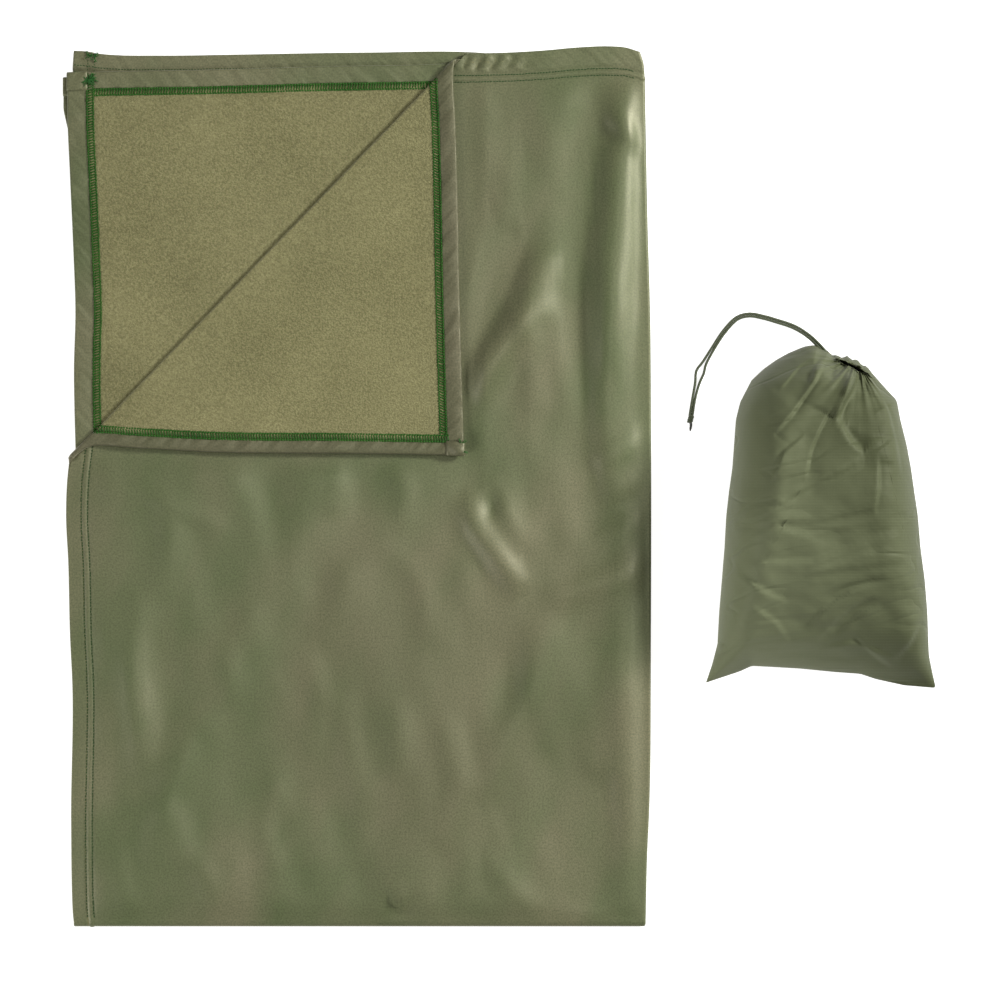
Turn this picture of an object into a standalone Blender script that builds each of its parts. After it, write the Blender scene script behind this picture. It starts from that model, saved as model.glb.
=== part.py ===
"""Camp blanket folded in four with one corner turned back, and its full drawstring stuff sack.

Metres, +Z up. The origin is the middle of the folded blanket's underside. The blanket was folded
side to side first (the fold on the right, fleece inside) and then end to end (the fold at the
bottom, shell inside), so four layers lie on each other: the top, second, third and floor layer.
"""
from math import cos, pi, sin

import bmesh
import bpy
from mathutils import Matrix, Vector

# Cloth: a thin woven shell bonded to a fleece lining.
SHELL = 0.0006
LINING = 0.0018
GAP = 0.0003
LAYER = SHELL + GAP + LINING + GAP

# The folded blanket. Each layer's free left and top edges lie a little apart.
RIGHT_FOLD_X = 0.3305
BOTTOM_FOLD_Y = -0.4995
TOP_LAYER = {"left": -0.3300, "end": 0.495}
SECOND_LAYER = {"left": -0.332, "end": 0.477}
THIRD_LAYER = {"left": -0.324, "end": 0.493}
FLOOR_LAYER = {"left": -0.337, "end": 0.466}

# Hems: the edge is turned to the fleece side, and its raw edge is overlocked.
HEM = 0.018
OVERLOCK = 0.007
STITCH_LINE = 0.0008
STITCH_SPACING = 0.007
STITCH_FROM_EDGE = 0.0135
STITCH_HEIGHT = 0.0004
STITCHED_HEM = LINING - STITCH_HEIGHT - GAP
THREAD_END = 0.004
EDGE_WORK = HEM + OVERLOCK + GAP

# The turned-back corner: where its crease meets the left and top edges, and its tip.
CREASE_LEFT = Vector((-0.3244, 0.0376))
CREASE_TOP = Vector((0.1135, 0.4904))
FLAP_TIP = Vector((0.119, 0.0365))
CREASE_ROLL_ENDS = 0.035

# Stuff sack, lying on its back: distance along Y, middle in X, half width, height.
SACK_STATIONS = [
    (-0.2235, 0.5263, 0.1278, 0.006),
    (-0.2055, 0.5246, 0.1237, 0.028),
    (-0.1735, 0.5266, 0.1189, 0.062),
    (-0.1275, 0.5274, 0.1163, 0.090),
    (-0.0705, 0.5263, 0.1118, 0.106),
    (-0.0135, 0.5257, 0.1067, 0.114),
    (0.0435, 0.5246, 0.0986, 0.114),
    (0.0775, 0.5234, 0.0929, 0.108),
    (0.1005, 0.5226, 0.0887, 0.098),
    (0.1220, 0.5240, 0.0740, 0.080),
    (0.1340, 0.5320, 0.0520, 0.060),
    (0.1400, 0.5410, 0.0300, 0.046),
]
SACK_CLOTH = 0.0006
SACK_SEGMENTS = 24
SACK_FLOOR_SHARE = 0.42
BUNDLE_CLEARANCE = 0.004
CHANNEL_LENGTH = 0.013
CHANNEL_WALL = 0.012

# Drawcord: its middle line from inside the mouth to the knot, and half the strands' spacing.
CORD_DIAMETER = 0.0027
CORD_LIFT = 0.0016
CORD_ROUTE = [
    (0.5443, 0.1365, 0.0160, 0.0017),
    (0.5360, 0.1459, 0.0160, 0.0017),
    (0.5278, 0.1552, 0.0158, 0.0017),
    (0.5205, 0.1635, 0.0125, 0.0017),
    (0.5103, 0.1733, 0.0065, 0.0017),
    (0.4944, 0.1836, CORD_LIFT, 0.0017),
    (0.4727, 0.1909, CORD_LIFT, 0.0017),
    (0.4579, 0.1950, CORD_LIFT, 0.0017),
    (0.4434, 0.1973, CORD_LIFT, 0.0017),
    (0.4288, 0.1931, CORD_LIFT, 0.0017),
    (0.4143, 0.1779, CORD_LIFT, 0.0017),
    (0.4027, 0.1603, CORD_LIFT, 0.0017),
    (0.3924, 0.1429, CORD_LIFT, 0.0022),
    (0.3872, 0.1320, CORD_LIFT, 0.0045),
    (0.3840, 0.1195, CORD_LIFT, 0.0024),
    (0.3801, 0.1022, CORD_LIFT, 0.0017),
    (0.3772, 0.0832, CORD_LIFT, 0.0017),
]
CORD_POINTS = 48
KNOT_RADIUS = 0.0042
KNOT_CENTRE = Vector((0.3762, 0.0783, KNOT_RADIUS + GAP))
CORD_TIP_LENGTH = 0.0105
CORD_TIP_RADIUS = 0.0016

# Levels worked out from the cloth, lowest first.
FLOOR_SHELL_Z = 0.0
FLOOR_LINING_Z = FLOOR_SHELL_Z + SHELL + GAP
THIRD_LINING_Z = FLOOR_SHELL_Z + LAYER
THIRD_SHELL_Z = THIRD_LINING_Z + LINING + GAP
SECOND_SHELL_Z = THIRD_SHELL_Z + SHELL + GAP
SECOND_LINING_Z = SECOND_SHELL_Z + SHELL + GAP
TOP_LINING_Z = SECOND_SHELL_Z + LAYER
TOP_SHELL_Z = TOP_LINING_Z + LINING + GAP
FLAP_SHELL_Z = TOP_SHELL_Z + SHELL + GAP
FLAP_LINING_Z = FLAP_SHELL_Z + SHELL + GAP
STACK_TOP_Z = TOP_SHELL_Z + SHELL
CREASE_Z = STACK_TOP_Z + GAP / 2
BOTTOM_FOLD_Z = STACK_TOP_Z / 2
LAYERS_START_Y = BOTTOM_FOLD_Y + BOTTOM_FOLD_Z + GAP

# How far cutters reach past the cloth, and how many steps a half turn of cloth has.
PAST = 0.1
ARC_STEPS = 8
OLIVE_SHELL = (0.150, 0.165, 0.080)
OLIVE_FLEECE = (0.215, 0.215, 0.095)
GREEN_THREAD = (0.015, 0.100, 0.015)
DARK_THREAD = (0.030, 0.055, 0.025)
OLIVE_NYLON = (0.085, 0.110, 0.050)
MELTED_END = (0.010, 0.010, 0.009)

PIECES = bpy.data.collections.new("camp_blanket")
CUTTERS = bpy.data.collections.new("cutters")


def clear_scene():
    """Remove what the file holds, and link the two collections."""
    for old in list(bpy.data.objects):
        bpy.data.objects.remove(old, do_unlink=True)
    bpy.context.scene.collection.children.link(PIECES)
    bpy.context.scene.collection.children.link(CUTTERS)


def finish(piece, colour, roughness):
    """Give a piece its own material."""
    material = bpy.data.materials.new(piece.name)
    material.use_nodes = True
    shader = material.node_tree.nodes["Principled BSDF"]
    shader.inputs["Base Color"].default_value = (*colour, 1.0)
    shader.inputs["Roughness"].default_value = roughness
    shader.inputs["Metallic"].default_value = 0.0
    piece.data.materials.clear()
    piece.data.materials.append(material)
    return piece


def outline_curve(name, outline, thickness):
    """A flat 2D curve filled both sides, half its thickness above and below its own plane."""
    curve = bpy.data.curves.new(name, "CURVE")
    curve.dimensions = "2D"
    curve.fill_mode = "BOTH"
    curve.extrude = thickness / 2
    spline = curve.splines.new("POLY")
    spline.points.add(len(outline) - 1)
    for point, (across, along) in zip(spline.points, outline):
        point.co = (across, along, 0.0, 1.0)
    spline.use_cyclic_u = True
    return bpy.data.objects.new(name, curve)


def flat_piece(name, outline, low_z, thickness, colour, roughness):
    """A flat piece of cloth cut to an outline, lying with its underside at low_z."""
    piece = outline_curve(name, outline, thickness)
    piece.location.z = low_z + thickness / 2
    PIECES.objects.link(piece)
    return finish(piece, colour, roughness)


def rectangle(left, right, near, far):
    """The outline of a straight strip or panel."""
    return [Vector((left, near)), Vector((right, near)), Vector((right, far)), Vector((left, far))]


def keep_left_of(outline, start, end, offset=0.0):
    """Cut a convex outline along a line, and keep what lies to its left, offset inwards."""
    along = (end - start).normalized()
    inwards = Vector((-along.y, along.x))
    kept = []
    for here, there in zip(outline, outline[1:] + outline[:1]):
        depth_here = (here - start).dot(inwards) - offset
        depth_there = (there - start).dot(inwards) - offset
        if depth_here >= 0:
            kept.append(here)
        if (depth_here >= 0) != (depth_there >= 0):
            kept.append(here.lerp(there, depth_here / (depth_here - depth_there)))
    return kept


def half_ring(outer, inner):
    """The outline of a half ring that bulges towards -X of its own plane."""
    turns = [pi / 2 + pi * step / ARC_STEPS for step in range(ARC_STEPS + 1)]
    outside = [(outer * cos(t), outer * sin(t)) for t in turns]
    inside = [(inner * cos(t), inner * sin(t)) for t in reversed(turns)]
    return outside + inside


def as_mesh(curve_piece):
    """Turn a placed curve object into a welded mesh object of the same name."""
    bpy.context.scene.collection.objects.link(curve_piece)
    bpy.context.view_layer.update()
    evaluated = curve_piece.evaluated_get(bpy.context.evaluated_depsgraph_get())
    mesh = bpy.data.meshes.new_from_object(evaluated)
    placed = curve_piece.matrix_world.copy()
    name = curve_piece.name
    bpy.data.objects.remove(curve_piece, do_unlink=True)
    shape = bmesh.new()
    shape.from_mesh(mesh)
    bmesh.ops.remove_doubles(shape, verts=shape.verts, dist=0.00001)
    shape.to_mesh(mesh)
    shape.free()
    piece = bpy.data.objects.new(name, mesh)
    piece.matrix_world = placed
    return piece


def cutter_box(name, low, high, turn=0.0):
    """A box cutter between two corners, turned about Z around its low corner."""
    shape = bmesh.new()
    bmesh.ops.create_cube(shape, size=1.0)
    size = Vector(high) - Vector(low)
    bmesh.ops.translate(shape, vec=(0.5, 0.5, 0.5), verts=shape.verts)
    bmesh.ops.scale(shape, vec=size, verts=shape.verts)
    mesh = bpy.data.meshes.new(name)
    shape.to_mesh(mesh)
    shape.free()
    cutter = bpy.data.objects.new(name, mesh)
    cutter.location = low
    cutter.rotation_euler.z = turn
    cutter.hide_render = True
    cutter.display_type = "WIRE"
    CUTTERS.objects.link(cutter)
    return cutter


def cut(piece, cutter):
    """Subtract a cutter from a mesh piece."""
    boolean = piece.modifiers.new(cutter.name, "BOOLEAN")
    boolean.operation = "DIFFERENCE"
    boolean.object = cutter


def folded_panel(name, lower_z, upper_z, thickness, lower_left, upper_left, fold_x, far_y):
    """A sheet folded round the right-hand side: two levels joined by a half turn."""
    middle = (lower_z + upper_z + thickness) / 2
    outer = (upper_z + thickness - lower_z) / 2
    centre_x = fold_x - outer
    turns = [-pi / 2 + pi * step / ARC_STEPS for step in range(ARC_STEPS + 1)]
    outside = [(centre_x + outer * cos(t), middle + outer * sin(t)) for t in turns]
    inner = outer - thickness
    inside = [(centre_x + inner * cos(t), middle + inner * sin(t)) for t in reversed(turns)]
    outline = [(lower_left, lower_z)] + outside + [(upper_left, upper_z + thickness)]
    outline += [(upper_left, upper_z)] + inside + [(lower_left, lower_z + thickness)]
    length = far_y - LAYERS_START_Y
    piece = outline_curve(name, outline, length)
    piece.rotation_euler.x = pi / 2
    piece.location.y = LAYERS_START_Y + length / 2
    piece = as_mesh(piece)
    PIECES.objects.link(piece)
    return piece


def edge_step_cutter(name, near_y, low_z, high_z):
    """Takes away one level of a folded panel past its own end edge."""
    side = RIGHT_FOLD_X + PAST
    return cutter_box(name, (-side, near_y, low_z), (side, near_y + PAST, high_z))


def corner_cutter(name, low_z):
    """Takes the turned-back corner out of the top layer."""
    crease = CREASE_TOP - CREASE_LEFT
    turn = crease.angle_signed(Vector((1.0, 0.0)))
    along = crease.normalized()
    start = CREASE_LEFT - along * PAST + Vector((along.y, -along.x)) * GAP
    far = start + Vector((crease.length + 2 * PAST, crease.length))
    return cutter_box(name, (*start, low_z), (*far, STACK_TOP_Z + LAYER), turn)


def edge_work(layer_name, layer, level_z, crease_cut=False):
    """One layer's side and end hems and their overlocking, on its fleece side."""
    left = layer["left"]
    end = layer["end"]
    right = RIGHT_FOLD_X - LAYER
    inner_left = left + EDGE_WORK
    strips = {
        "side_hem": rectangle(left, left + HEM, LAYERS_START_Y, end),
        "side_overlock": rectangle(left + HEM + GAP, inner_left, LAYERS_START_Y, end),
        "end_hem": rectangle(inner_left + GAP, right, end - HEM, end),
        "end_overlock": rectangle(inner_left + GAP, right, end - EDGE_WORK, end - HEM - GAP),
    }
    for strip_name, outline in strips.items():
        if crease_cut:
            outline = keep_left_of(outline, CREASE_TOP, CREASE_LEFT, GAP)
        colour = GREEN_THREAD if "overlock" in strip_name else OLIVE_SHELL
        name = f"{layer_name}_{strip_name}"
        flat_piece(name, outline, level_z, LINING, colour, 0.7)


def stitching(name, start, end, low_z):
    """Two rows of needle thread joined at both ends, left of an edge, as one thin ring."""
    along = (end - start).normalized()
    across = Vector((-along.y, along.x))
    half = (STITCH_SPACING + STITCH_LINE) / 2
    ends = (end - start).length / 2
    ring = outline_curve(name, rectangle(-ends, ends, -half, half), STITCH_HEIGHT)
    hole = ring.data.splines.new("POLY")
    hole.points.add(3)
    inner = rectangle(STITCH_LINE - ends, ends - STITCH_LINE, STITCH_LINE - half, half - STITCH_LINE)
    for point, (x, y) in zip(hole.points, inner):
        point.co = (x, y, 0.0, 1.0)
    hole.use_cyclic_u = True
    middle = (start + end) / 2 + across * STITCH_FROM_EDGE
    ring.location = (middle.x, middle.y, low_z + STITCH_HEIGHT / 2)
    ring.rotation_euler.z = along.angle_signed(Vector((1.0, 0.0)))
    PIECES.objects.link(ring)
    return finish(ring, DARK_THREAD, 0.6)


def lower_half():
    """The third and floor layers, folded round their right side."""
    shell = folded_panel("lower_shell", FLOOR_SHELL_Z, THIRD_SHELL_Z, SHELL,
                         FLOOR_LAYER["left"], THIRD_LAYER["left"], RIGHT_FOLD_X, THIRD_LAYER["end"])
    cut(shell, edge_step_cutter("floor_shell_end", FLOOR_LAYER["end"], -PAST, THIRD_LINING_Z))
    finish(shell, OLIVE_SHELL, 0.45)
    lining = folded_panel("lower_lining", FLOOR_LINING_Z, THIRD_LINING_Z, LINING,
                          FLOOR_LAYER["left"] + EDGE_WORK + GAP, THIRD_LAYER["left"] + EDGE_WORK + GAP,
                          RIGHT_FOLD_X - SHELL - GAP, THIRD_LAYER["end"] - EDGE_WORK - GAP)
    floor_end = FLOOR_LAYER["end"] - EDGE_WORK - GAP
    cut(lining, edge_step_cutter("floor_lining_end", floor_end, -PAST, THIRD_LINING_Z - GAP / 2))
    finish(lining, OLIVE_FLEECE, 0.95)
    edge_work("third_layer", THIRD_LAYER, THIRD_LINING_Z)
    edge_work("floor_layer", FLOOR_LAYER, FLOOR_LINING_Z)


def upper_half():
    """The top and second layers, with the top layer's corner left open."""
    shell = folded_panel("upper_shell", SECOND_SHELL_Z, TOP_SHELL_Z, SHELL,
                         SECOND_LAYER["left"], TOP_LAYER["left"], RIGHT_FOLD_X, TOP_LAYER["end"])
    cut(shell, edge_step_cutter("second_shell_end", SECOND_LAYER["end"], 0.0, TOP_LINING_Z))
    cut(shell, corner_cutter("shell_corner", TOP_LINING_Z))
    finish(shell, OLIVE_SHELL, 0.45)
    lining = folded_panel("upper_lining", SECOND_LINING_Z, TOP_LINING_Z, LINING,
                          SECOND_LAYER["left"] + EDGE_WORK + GAP, TOP_LAYER["left"] + EDGE_WORK + GAP,
                          RIGHT_FOLD_X - SHELL - GAP, TOP_LAYER["end"] - EDGE_WORK - GAP)
    second_end = SECOND_LAYER["end"] - EDGE_WORK - GAP
    cut(lining, edge_step_cutter("second_lining_end", second_end, 0.0, TOP_LINING_Z - GAP / 2))
    cut(lining, corner_cutter("lining_corner", TOP_LINING_Z - GAP / 2))
    finish(lining, OLIVE_FLEECE, 0.95)
    edge_work("second_layer", SECOND_LAYER, SECOND_LINING_Z)
    edge_work("top_layer", TOP_LAYER, TOP_LINING_Z, crease_cut=True)
    left = TOP_LAYER["left"]
    stitch_z = STACK_TOP_Z + GAP
    side_start = Vector((left, CREASE_LEFT.y - EDGE_WORK - THREAD_END))
    side_end = Vector((left, LAYERS_START_Y + THREAD_END))
    stitching("top_layer_side_stitching", side_start, side_end, stitch_z)
    end_start = Vector((FLAP_TIP.x + THREAD_END, TOP_LAYER["end"]))
    end_end = Vector((RIGHT_FOLD_X - LAYER - THREAD_END, TOP_LAYER["end"]))
    stitching("top_layer_end_stitching", end_end, end_start, stitch_z)


def corner_flap():
    """The corner of the top layer, turned back over it so that its fleece side shows."""
    outline = [CREASE_LEFT, FLAP_TIP, CREASE_TOP]
    outline = keep_left_of(outline, CREASE_TOP, CREASE_LEFT, 2 * GAP)
    flat_piece("flap_shell", outline, FLAP_SHELL_Z, SHELL, OLIVE_SHELL, 0.45)
    side = (CREASE_LEFT, FLAP_TIP)
    end = (FLAP_TIP, CREASE_TOP)
    inside = keep_left_of(outline, *side, EDGE_WORK + GAP)
    inside = keep_left_of(inside, *end, EDGE_WORK + GAP)
    flat_piece("flap_lining", inside, FLAP_LINING_Z, LINING, OLIVE_FLEECE, 0.95)
    side_hem = keep_left_of(outline, *reversed(side), -HEM)
    flat_piece("flap_side_hem", side_hem, FLAP_LINING_Z, STITCHED_HEM, OLIVE_SHELL, 0.5)
    side_lock = keep_left_of(keep_left_of(outline, *side, HEM + GAP), *reversed(side), -EDGE_WORK)
    flat_piece("flap_side_overlock", side_lock, FLAP_LINING_Z, LINING, GREEN_THREAD, 0.7)
    above_side = keep_left_of(outline, *side, EDGE_WORK + GAP)
    end_hem = keep_left_of(above_side, *reversed(end), -HEM)
    flat_piece("flap_end_hem", end_hem, FLAP_LINING_Z, LINING, OLIVE_SHELL, 0.5)
    end_lock = keep_left_of(keep_left_of(above_side, *end, HEM + GAP), *reversed(end), -EDGE_WORK)
    flat_piece("flap_end_overlock", end_lock, FLAP_LINING_Z, LINING, GREEN_THREAD, 0.7)
    along = (FLAP_TIP - CREASE_LEFT).normalized()
    start = CREASE_LEFT + along * (HEM + OVERLOCK)
    flap_stitch_z = FLAP_LINING_Z + STITCHED_HEM + GAP
    stitching("flap_side_stitching", start, FLAP_TIP - along * THREAD_END, flap_stitch_z)


def fold_wraps():
    """The cloth that turns round the two folds which can be opened."""
    levels = {
        "bottom_fold_shell": (BOTTOM_FOLD_Z, SHELL, OLIVE_SHELL),
        "bottom_fold_lining": (BOTTOM_FOLD_Z - FLOOR_LINING_Z, LINING, OLIVE_FLEECE),
        "inner_fold_lining": (BOTTOM_FOLD_Z - THIRD_LINING_Z, LINING, OLIVE_FLEECE),
        "inner_fold_shell": (BOTTOM_FOLD_Z - THIRD_SHELL_Z, SHELL, OLIVE_SHELL),
    }
    length = RIGHT_FOLD_X - LAYER - TOP_LAYER["left"]
    for name, (outer, thickness, colour) in levels.items():
        ring = outline_curve(name, half_ring(outer, outer - thickness), length)
        ring.matrix_world = Matrix(((0, 0, 1, 0), (1, 0, 0, 0), (0, 1, 0, 0), (0, 0, 0, 1)))
        middle_x = (RIGHT_FOLD_X - LAYER + TOP_LAYER["left"]) / 2
        ring.location = (middle_x, LAYERS_START_Y - GAP, BOTTOM_FOLD_Z)
        PIECES.objects.link(ring)
        finish(ring, colour, 0.7)
    crease = CREASE_TOP - CREASE_LEFT
    along = crease.normalized()
    outwards = Vector((-along.y, along.x))
    middle = (CREASE_TOP + CREASE_LEFT) / 2 + along * THREAD_END
    roll = crease.length - 2 * CREASE_ROLL_ENDS
    creases = {
        "corner_fold_lining": (CREASE_Z - TOP_LINING_Z, LINING, OLIVE_FLEECE),
        "corner_fold_shell": (CREASE_Z - TOP_SHELL_Z, SHELL, OLIVE_SHELL),
    }
    for name, (outer, thickness, colour) in creases.items():
        ring = outline_curve(name, half_ring(outer, outer - thickness), roll)
        ring.matrix_world = Matrix((
            (-outwards.x, 0, along.x, middle.x),
            (-outwards.y, 0, along.y, middle.y),
            (0, 1, 0, CREASE_Z),
            (0, 0, 0, 1),
        ))
        PIECES.objects.link(ring)
        finish(ring, colour, 0.8)


def sack_ring(shape, station, inset=0.0):
    """One section of the sack: an oval with a flat underside. Returns its edges."""
    y, middle, half_width, height = station
    ring = bmesh.ops.create_circle(shape, segments=SACK_SEGMENTS, radius=1.0)["verts"]
    for vert in ring:
        side = vert.co.x
        rise = vert.co.y
        if rise < 0:
            rise = -abs(rise) ** 0.5 * SACK_FLOOR_SHARE
        else:
            rise *= 1 - SACK_FLOOR_SHARE
        z = inset + (height - 2 * inset) * (SACK_FLOOR_SHARE + rise)
        vert.co = (middle + side * (half_width - inset), y, z)
    return list({edge for vert in ring for edge in vert.link_edges})


def lofted(name, stations, inset=0.0, close_bottom=True, close_mouth=False):
    """A body lofted through the sack's sections."""
    shape = bmesh.new()
    rings = [sack_ring(shape, station, inset) for station in stations]
    for near, far in zip(rings, rings[1:]):
        bmesh.ops.bridge_loops(shape, edges=near + far)
    if close_bottom:
        bmesh.ops.contextual_create(shape, geom=rings[0])
    if close_mouth:
        bmesh.ops.contextual_create(shape, geom=rings[-1])
    bmesh.ops.recalc_face_normals(shape, faces=shape.faces)
    mesh = bpy.data.meshes.new(name)
    shape.to_mesh(mesh)
    shape.free()
    mesh.shade_smooth()
    piece = bpy.data.objects.new(name, mesh)
    PIECES.objects.link(piece)
    return piece


def give_wall(piece, thickness):
    """Thicken an open surface inwards."""
    wall = piece.modifiers.new("cloth", "SOLIDIFY")
    wall.thickness = thickness
    wall.offset = -1.0


def stuff_sack():
    """The sack's body, the gathered channel at its mouth and the bundle inside it."""
    body = lofted("sack_body", SACK_STATIONS)
    give_wall(body, SACK_CLOTH)
    finish(body, OLIVE_NYLON, 0.5)
    bundle = lofted("packed_bundle", SACK_STATIONS[2:-2], BUNDLE_CLEARANCE, close_mouth=True)
    finish(bundle, OLIVE_FLEECE, 0.95)
    mouth_y, middle, half_width, height = SACK_STATIONS[-1]
    near = (mouth_y + GAP, middle, half_width, height)
    far = (mouth_y + GAP + CHANNEL_LENGTH, middle, half_width, height)
    channel = lofted("sack_channel", [near, far], close_bottom=False)
    give_wall(channel, CHANNEL_WALL)
    finish(channel, OLIVE_NYLON, 0.5)


def smooth_route(route, count):
    """Points on a smooth curve through a route's own points, four values each."""
    stops = [route[0]] + list(route) + [route[-1]]
    spans = len(route) - 1
    points = []
    for step in range(count):
        place = step * spans / (count - 1)
        span = min(int(place), spans - 1)
        t = place - span
        a, b, c, d = (Vector(stop) for stop in stops[span:span + 4])
        bend = (b * 2 + (c - a) * t + (a * 2 - b * 5 + c * 4 - d) * t ** 2
                + (b * 3 - a - c * 3 + d) * t ** 3)
        points.append(bend / 2)
    return points


def strand(name, side):
    """One strand of the drawcord, beside the cord's middle line."""
    middle = smooth_route(CORD_ROUTE, CORD_POINTS)
    curve = bpy.data.curves.new(name, "CURVE")
    curve.dimensions = "3D"
    curve.bevel_depth = CORD_DIAMETER / 2
    curve.bevel_resolution = 2
    curve.use_fill_caps = True
    spline = curve.splines.new("POLY")
    spline.points.add(CORD_POINTS - 1)
    for index, point in enumerate(spline.points):
        before = middle[max(index - 1, 0)].to_2d()
        after = middle[min(index + 1, CORD_POINTS - 1)].to_2d()
        along = (after - before).normalized()
        aside = Vector((-along.y, along.x)) * side * middle[index][3]
        point.co = (middle[index].x + aside.x, middle[index].y + aside.y, middle[index].z, 1.0)
    piece = bpy.data.objects.new(name, curve)
    PIECES.objects.link(piece)
    return finish(piece, OLIVE_NYLON, 0.6)


def drawcord():
    """Two strands, the knot that joins them and their melted ends."""
    strand("drawcord_strand_a", 1)
    strand("drawcord_strand_b", -1)
    shape = bmesh.new()
    bmesh.ops.create_uvsphere(shape, u_segments=12, v_segments=8, radius=KNOT_RADIUS)
    mesh = bpy.data.meshes.new("drawcord_knot")
    shape.to_mesh(mesh)
    shape.free()
    knot = bpy.data.objects.new("drawcord_knot", mesh)
    knot.location = KNOT_CENTRE
    PIECES.objects.link(knot)
    finish(knot, OLIVE_NYLON, 0.6)
    shape = bmesh.new()
    bmesh.ops.create_cone(shape, cap_ends=True, segments=12, radius1=CORD_TIP_RADIUS,
                          radius2=CORD_TIP_RADIUS * 0.8, depth=CORD_TIP_LENGTH)
    mesh = bpy.data.meshes.new("drawcord_tip")
    shape.to_mesh(mesh)
    shape.free()
    tip = bpy.data.objects.new("drawcord_tip", mesh)
    tip.rotation_euler.x = pi / 2
    tip_y = KNOT_CENTRE.y - KNOT_RADIUS - GAP - CORD_TIP_LENGTH / 2
    tip.location = (KNOT_CENTRE.x, tip_y, CORD_TIP_RADIUS + GAP)
    PIECES.objects.link(tip)
    finish(tip, MELTED_END, 0.35)


clear_scene()
lower_half()
upper_half()
corner_flap()
fold_wraps()
stuff_sack()
drawcord()
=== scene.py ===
"""A fleece-lined camp blanket, folded in four with one corner turned down, and its packed stuff sack.

The sheets are cut flat and then folded: every point has a flat place on the cloth, and one function
lays that place on the folded blanket. Hems, seams and thread are laid with the same function.
"""
import math

import bmesh
import bpy
import numpy as np
from bpy.props import FloatProperty, FloatVectorProperty, PointerProperty
from mathutils import Matrix, Vector


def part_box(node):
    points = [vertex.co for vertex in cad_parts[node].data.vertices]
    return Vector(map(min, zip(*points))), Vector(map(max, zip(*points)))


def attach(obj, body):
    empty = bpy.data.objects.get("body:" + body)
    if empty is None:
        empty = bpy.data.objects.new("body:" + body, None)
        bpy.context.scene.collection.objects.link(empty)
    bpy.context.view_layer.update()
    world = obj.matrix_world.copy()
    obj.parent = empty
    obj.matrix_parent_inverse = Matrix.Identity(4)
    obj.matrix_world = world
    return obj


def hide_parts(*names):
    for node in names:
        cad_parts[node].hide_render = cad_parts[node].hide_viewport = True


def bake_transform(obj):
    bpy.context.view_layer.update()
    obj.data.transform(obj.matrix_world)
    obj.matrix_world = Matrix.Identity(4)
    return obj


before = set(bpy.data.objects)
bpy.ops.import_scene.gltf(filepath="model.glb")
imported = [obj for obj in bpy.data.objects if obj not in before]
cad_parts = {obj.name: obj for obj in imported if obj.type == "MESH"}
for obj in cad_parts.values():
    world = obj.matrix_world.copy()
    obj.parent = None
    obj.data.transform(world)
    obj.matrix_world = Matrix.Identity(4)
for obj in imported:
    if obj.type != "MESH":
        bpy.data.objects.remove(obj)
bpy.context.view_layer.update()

bl_info = {
    "name": "Camp Blanket",
    "version": (1, 0, 0),
    "blender": (4, 5, 0),
    "location": "View3D > Sidebar > Blanket",
    "description": "Makes a folded fleece-lined camp blanket and its stuff sack",
    "category": "Add Mesh",
}

MM = 0.001
PI = math.pi

# The folded stack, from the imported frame.
SHELL_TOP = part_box("upper_shell")[1].z        # top face of the uppermost shell
PLY = 3.0 * MM                                # one layer of shell and fleece, gap included
HALF_CLOTH = 1.35 * MM                        # from the middle of a layer to either face
STACK_MIDDLE = SHELL_TOP / 2                  # height between the second and third layers
FLAP_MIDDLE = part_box("flap_lining")[1].z - HALF_CLOTH
ROLL = PLY / 2                                # radius of the turned-down corner's roll
ROLL_AXIS_Z = FLAP_MIDDLE - ROLL
BOTTOM_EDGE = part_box("bottom_fold_shell")[0].y

# The cloth as cut, halves measured from its two folds.
HALF_WIDTH = 0.661
HALF_LENGTH = 0.995
SIDE_HEM = 22.0 * MM
END_HEM = 20.0 * MM
FLAP_SIDE_HEM = 19.0 * MM
FLAP_END_HEM = 14.5 * MM
RIM = 1.3 * MM                                # radius of the shell's turn round an edge
RIM_TURNS = (0.45, 0.9, 1.35, 1.8, 2.25, 2.7, PI)    # angles round an edge that get a line of vertices
TAIL = 2.0 * MM                               # cloth of the turned corner that lies under it
SHELL_THICKNESS = 0.6 * MM
FLEECE_THICKNESS = 1.6 * MM
FLEECE_TRIM = 0.8 * MM                        # the fleece is cut this much short of the shell's edge
HINGE_HALF = 0.13 * MM                        # half the height above the crease's roll of a point that nothing reads

CREASE_LEFT = np.array((-0.3244, 0.0376))
CREASE_TOP = np.array((0.1135, 0.4904))
CREASE_RUN = (CREASE_TOP - CREASE_LEFT) / np.linalg.norm(CREASE_TOP - CREASE_LEFT)
INTO_FLAP = np.array((CREASE_RUN[1], -CREASE_RUN[0]))
FLAP_TIP = np.array((0.1190, 0.0365))
FLAP_WIDTH = FLAP_TIP[0] - CREASE_LEFT[0]
FLAP_HEIGHT = CREASE_TOP[1] - FLAP_TIP[1]
CORNER_AREA = FLAP_WIDTH * FLAP_HEIGHT / 2


# ---------------------------------------------------------------- small tools

def smooth_step(value, low, high):
    """0 below low, 1 above high, and a smooth rise between."""
    t = np.clip((np.asarray(value, float) - low) / (high - low), 0, 1)
    return t * t * (3 - 2 * t)


def line_through(points):
    """A function that follows the points smoothly, by position along the first number."""
    xs, ys = (np.array(v, float) for v in zip(*points))
    slopes = np.gradient(ys, xs)

    def follow(value):
        value = np.clip(value, xs[0], xs[-1])
        i = np.clip(np.searchsorted(xs, value) - 1, 0, len(xs) - 2)
        gap = xs[i + 1] - xs[i]
        t = (value - xs[i]) / gap
        rise = ys[i + 1] - ys[i]
        left = slopes[i] * gap - rise
        right = rise - slopes[i + 1] * gap
        return ys[i] + t * rise + t * (1 - t) * (left * (1 - t) + right * t)

    return follow


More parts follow.
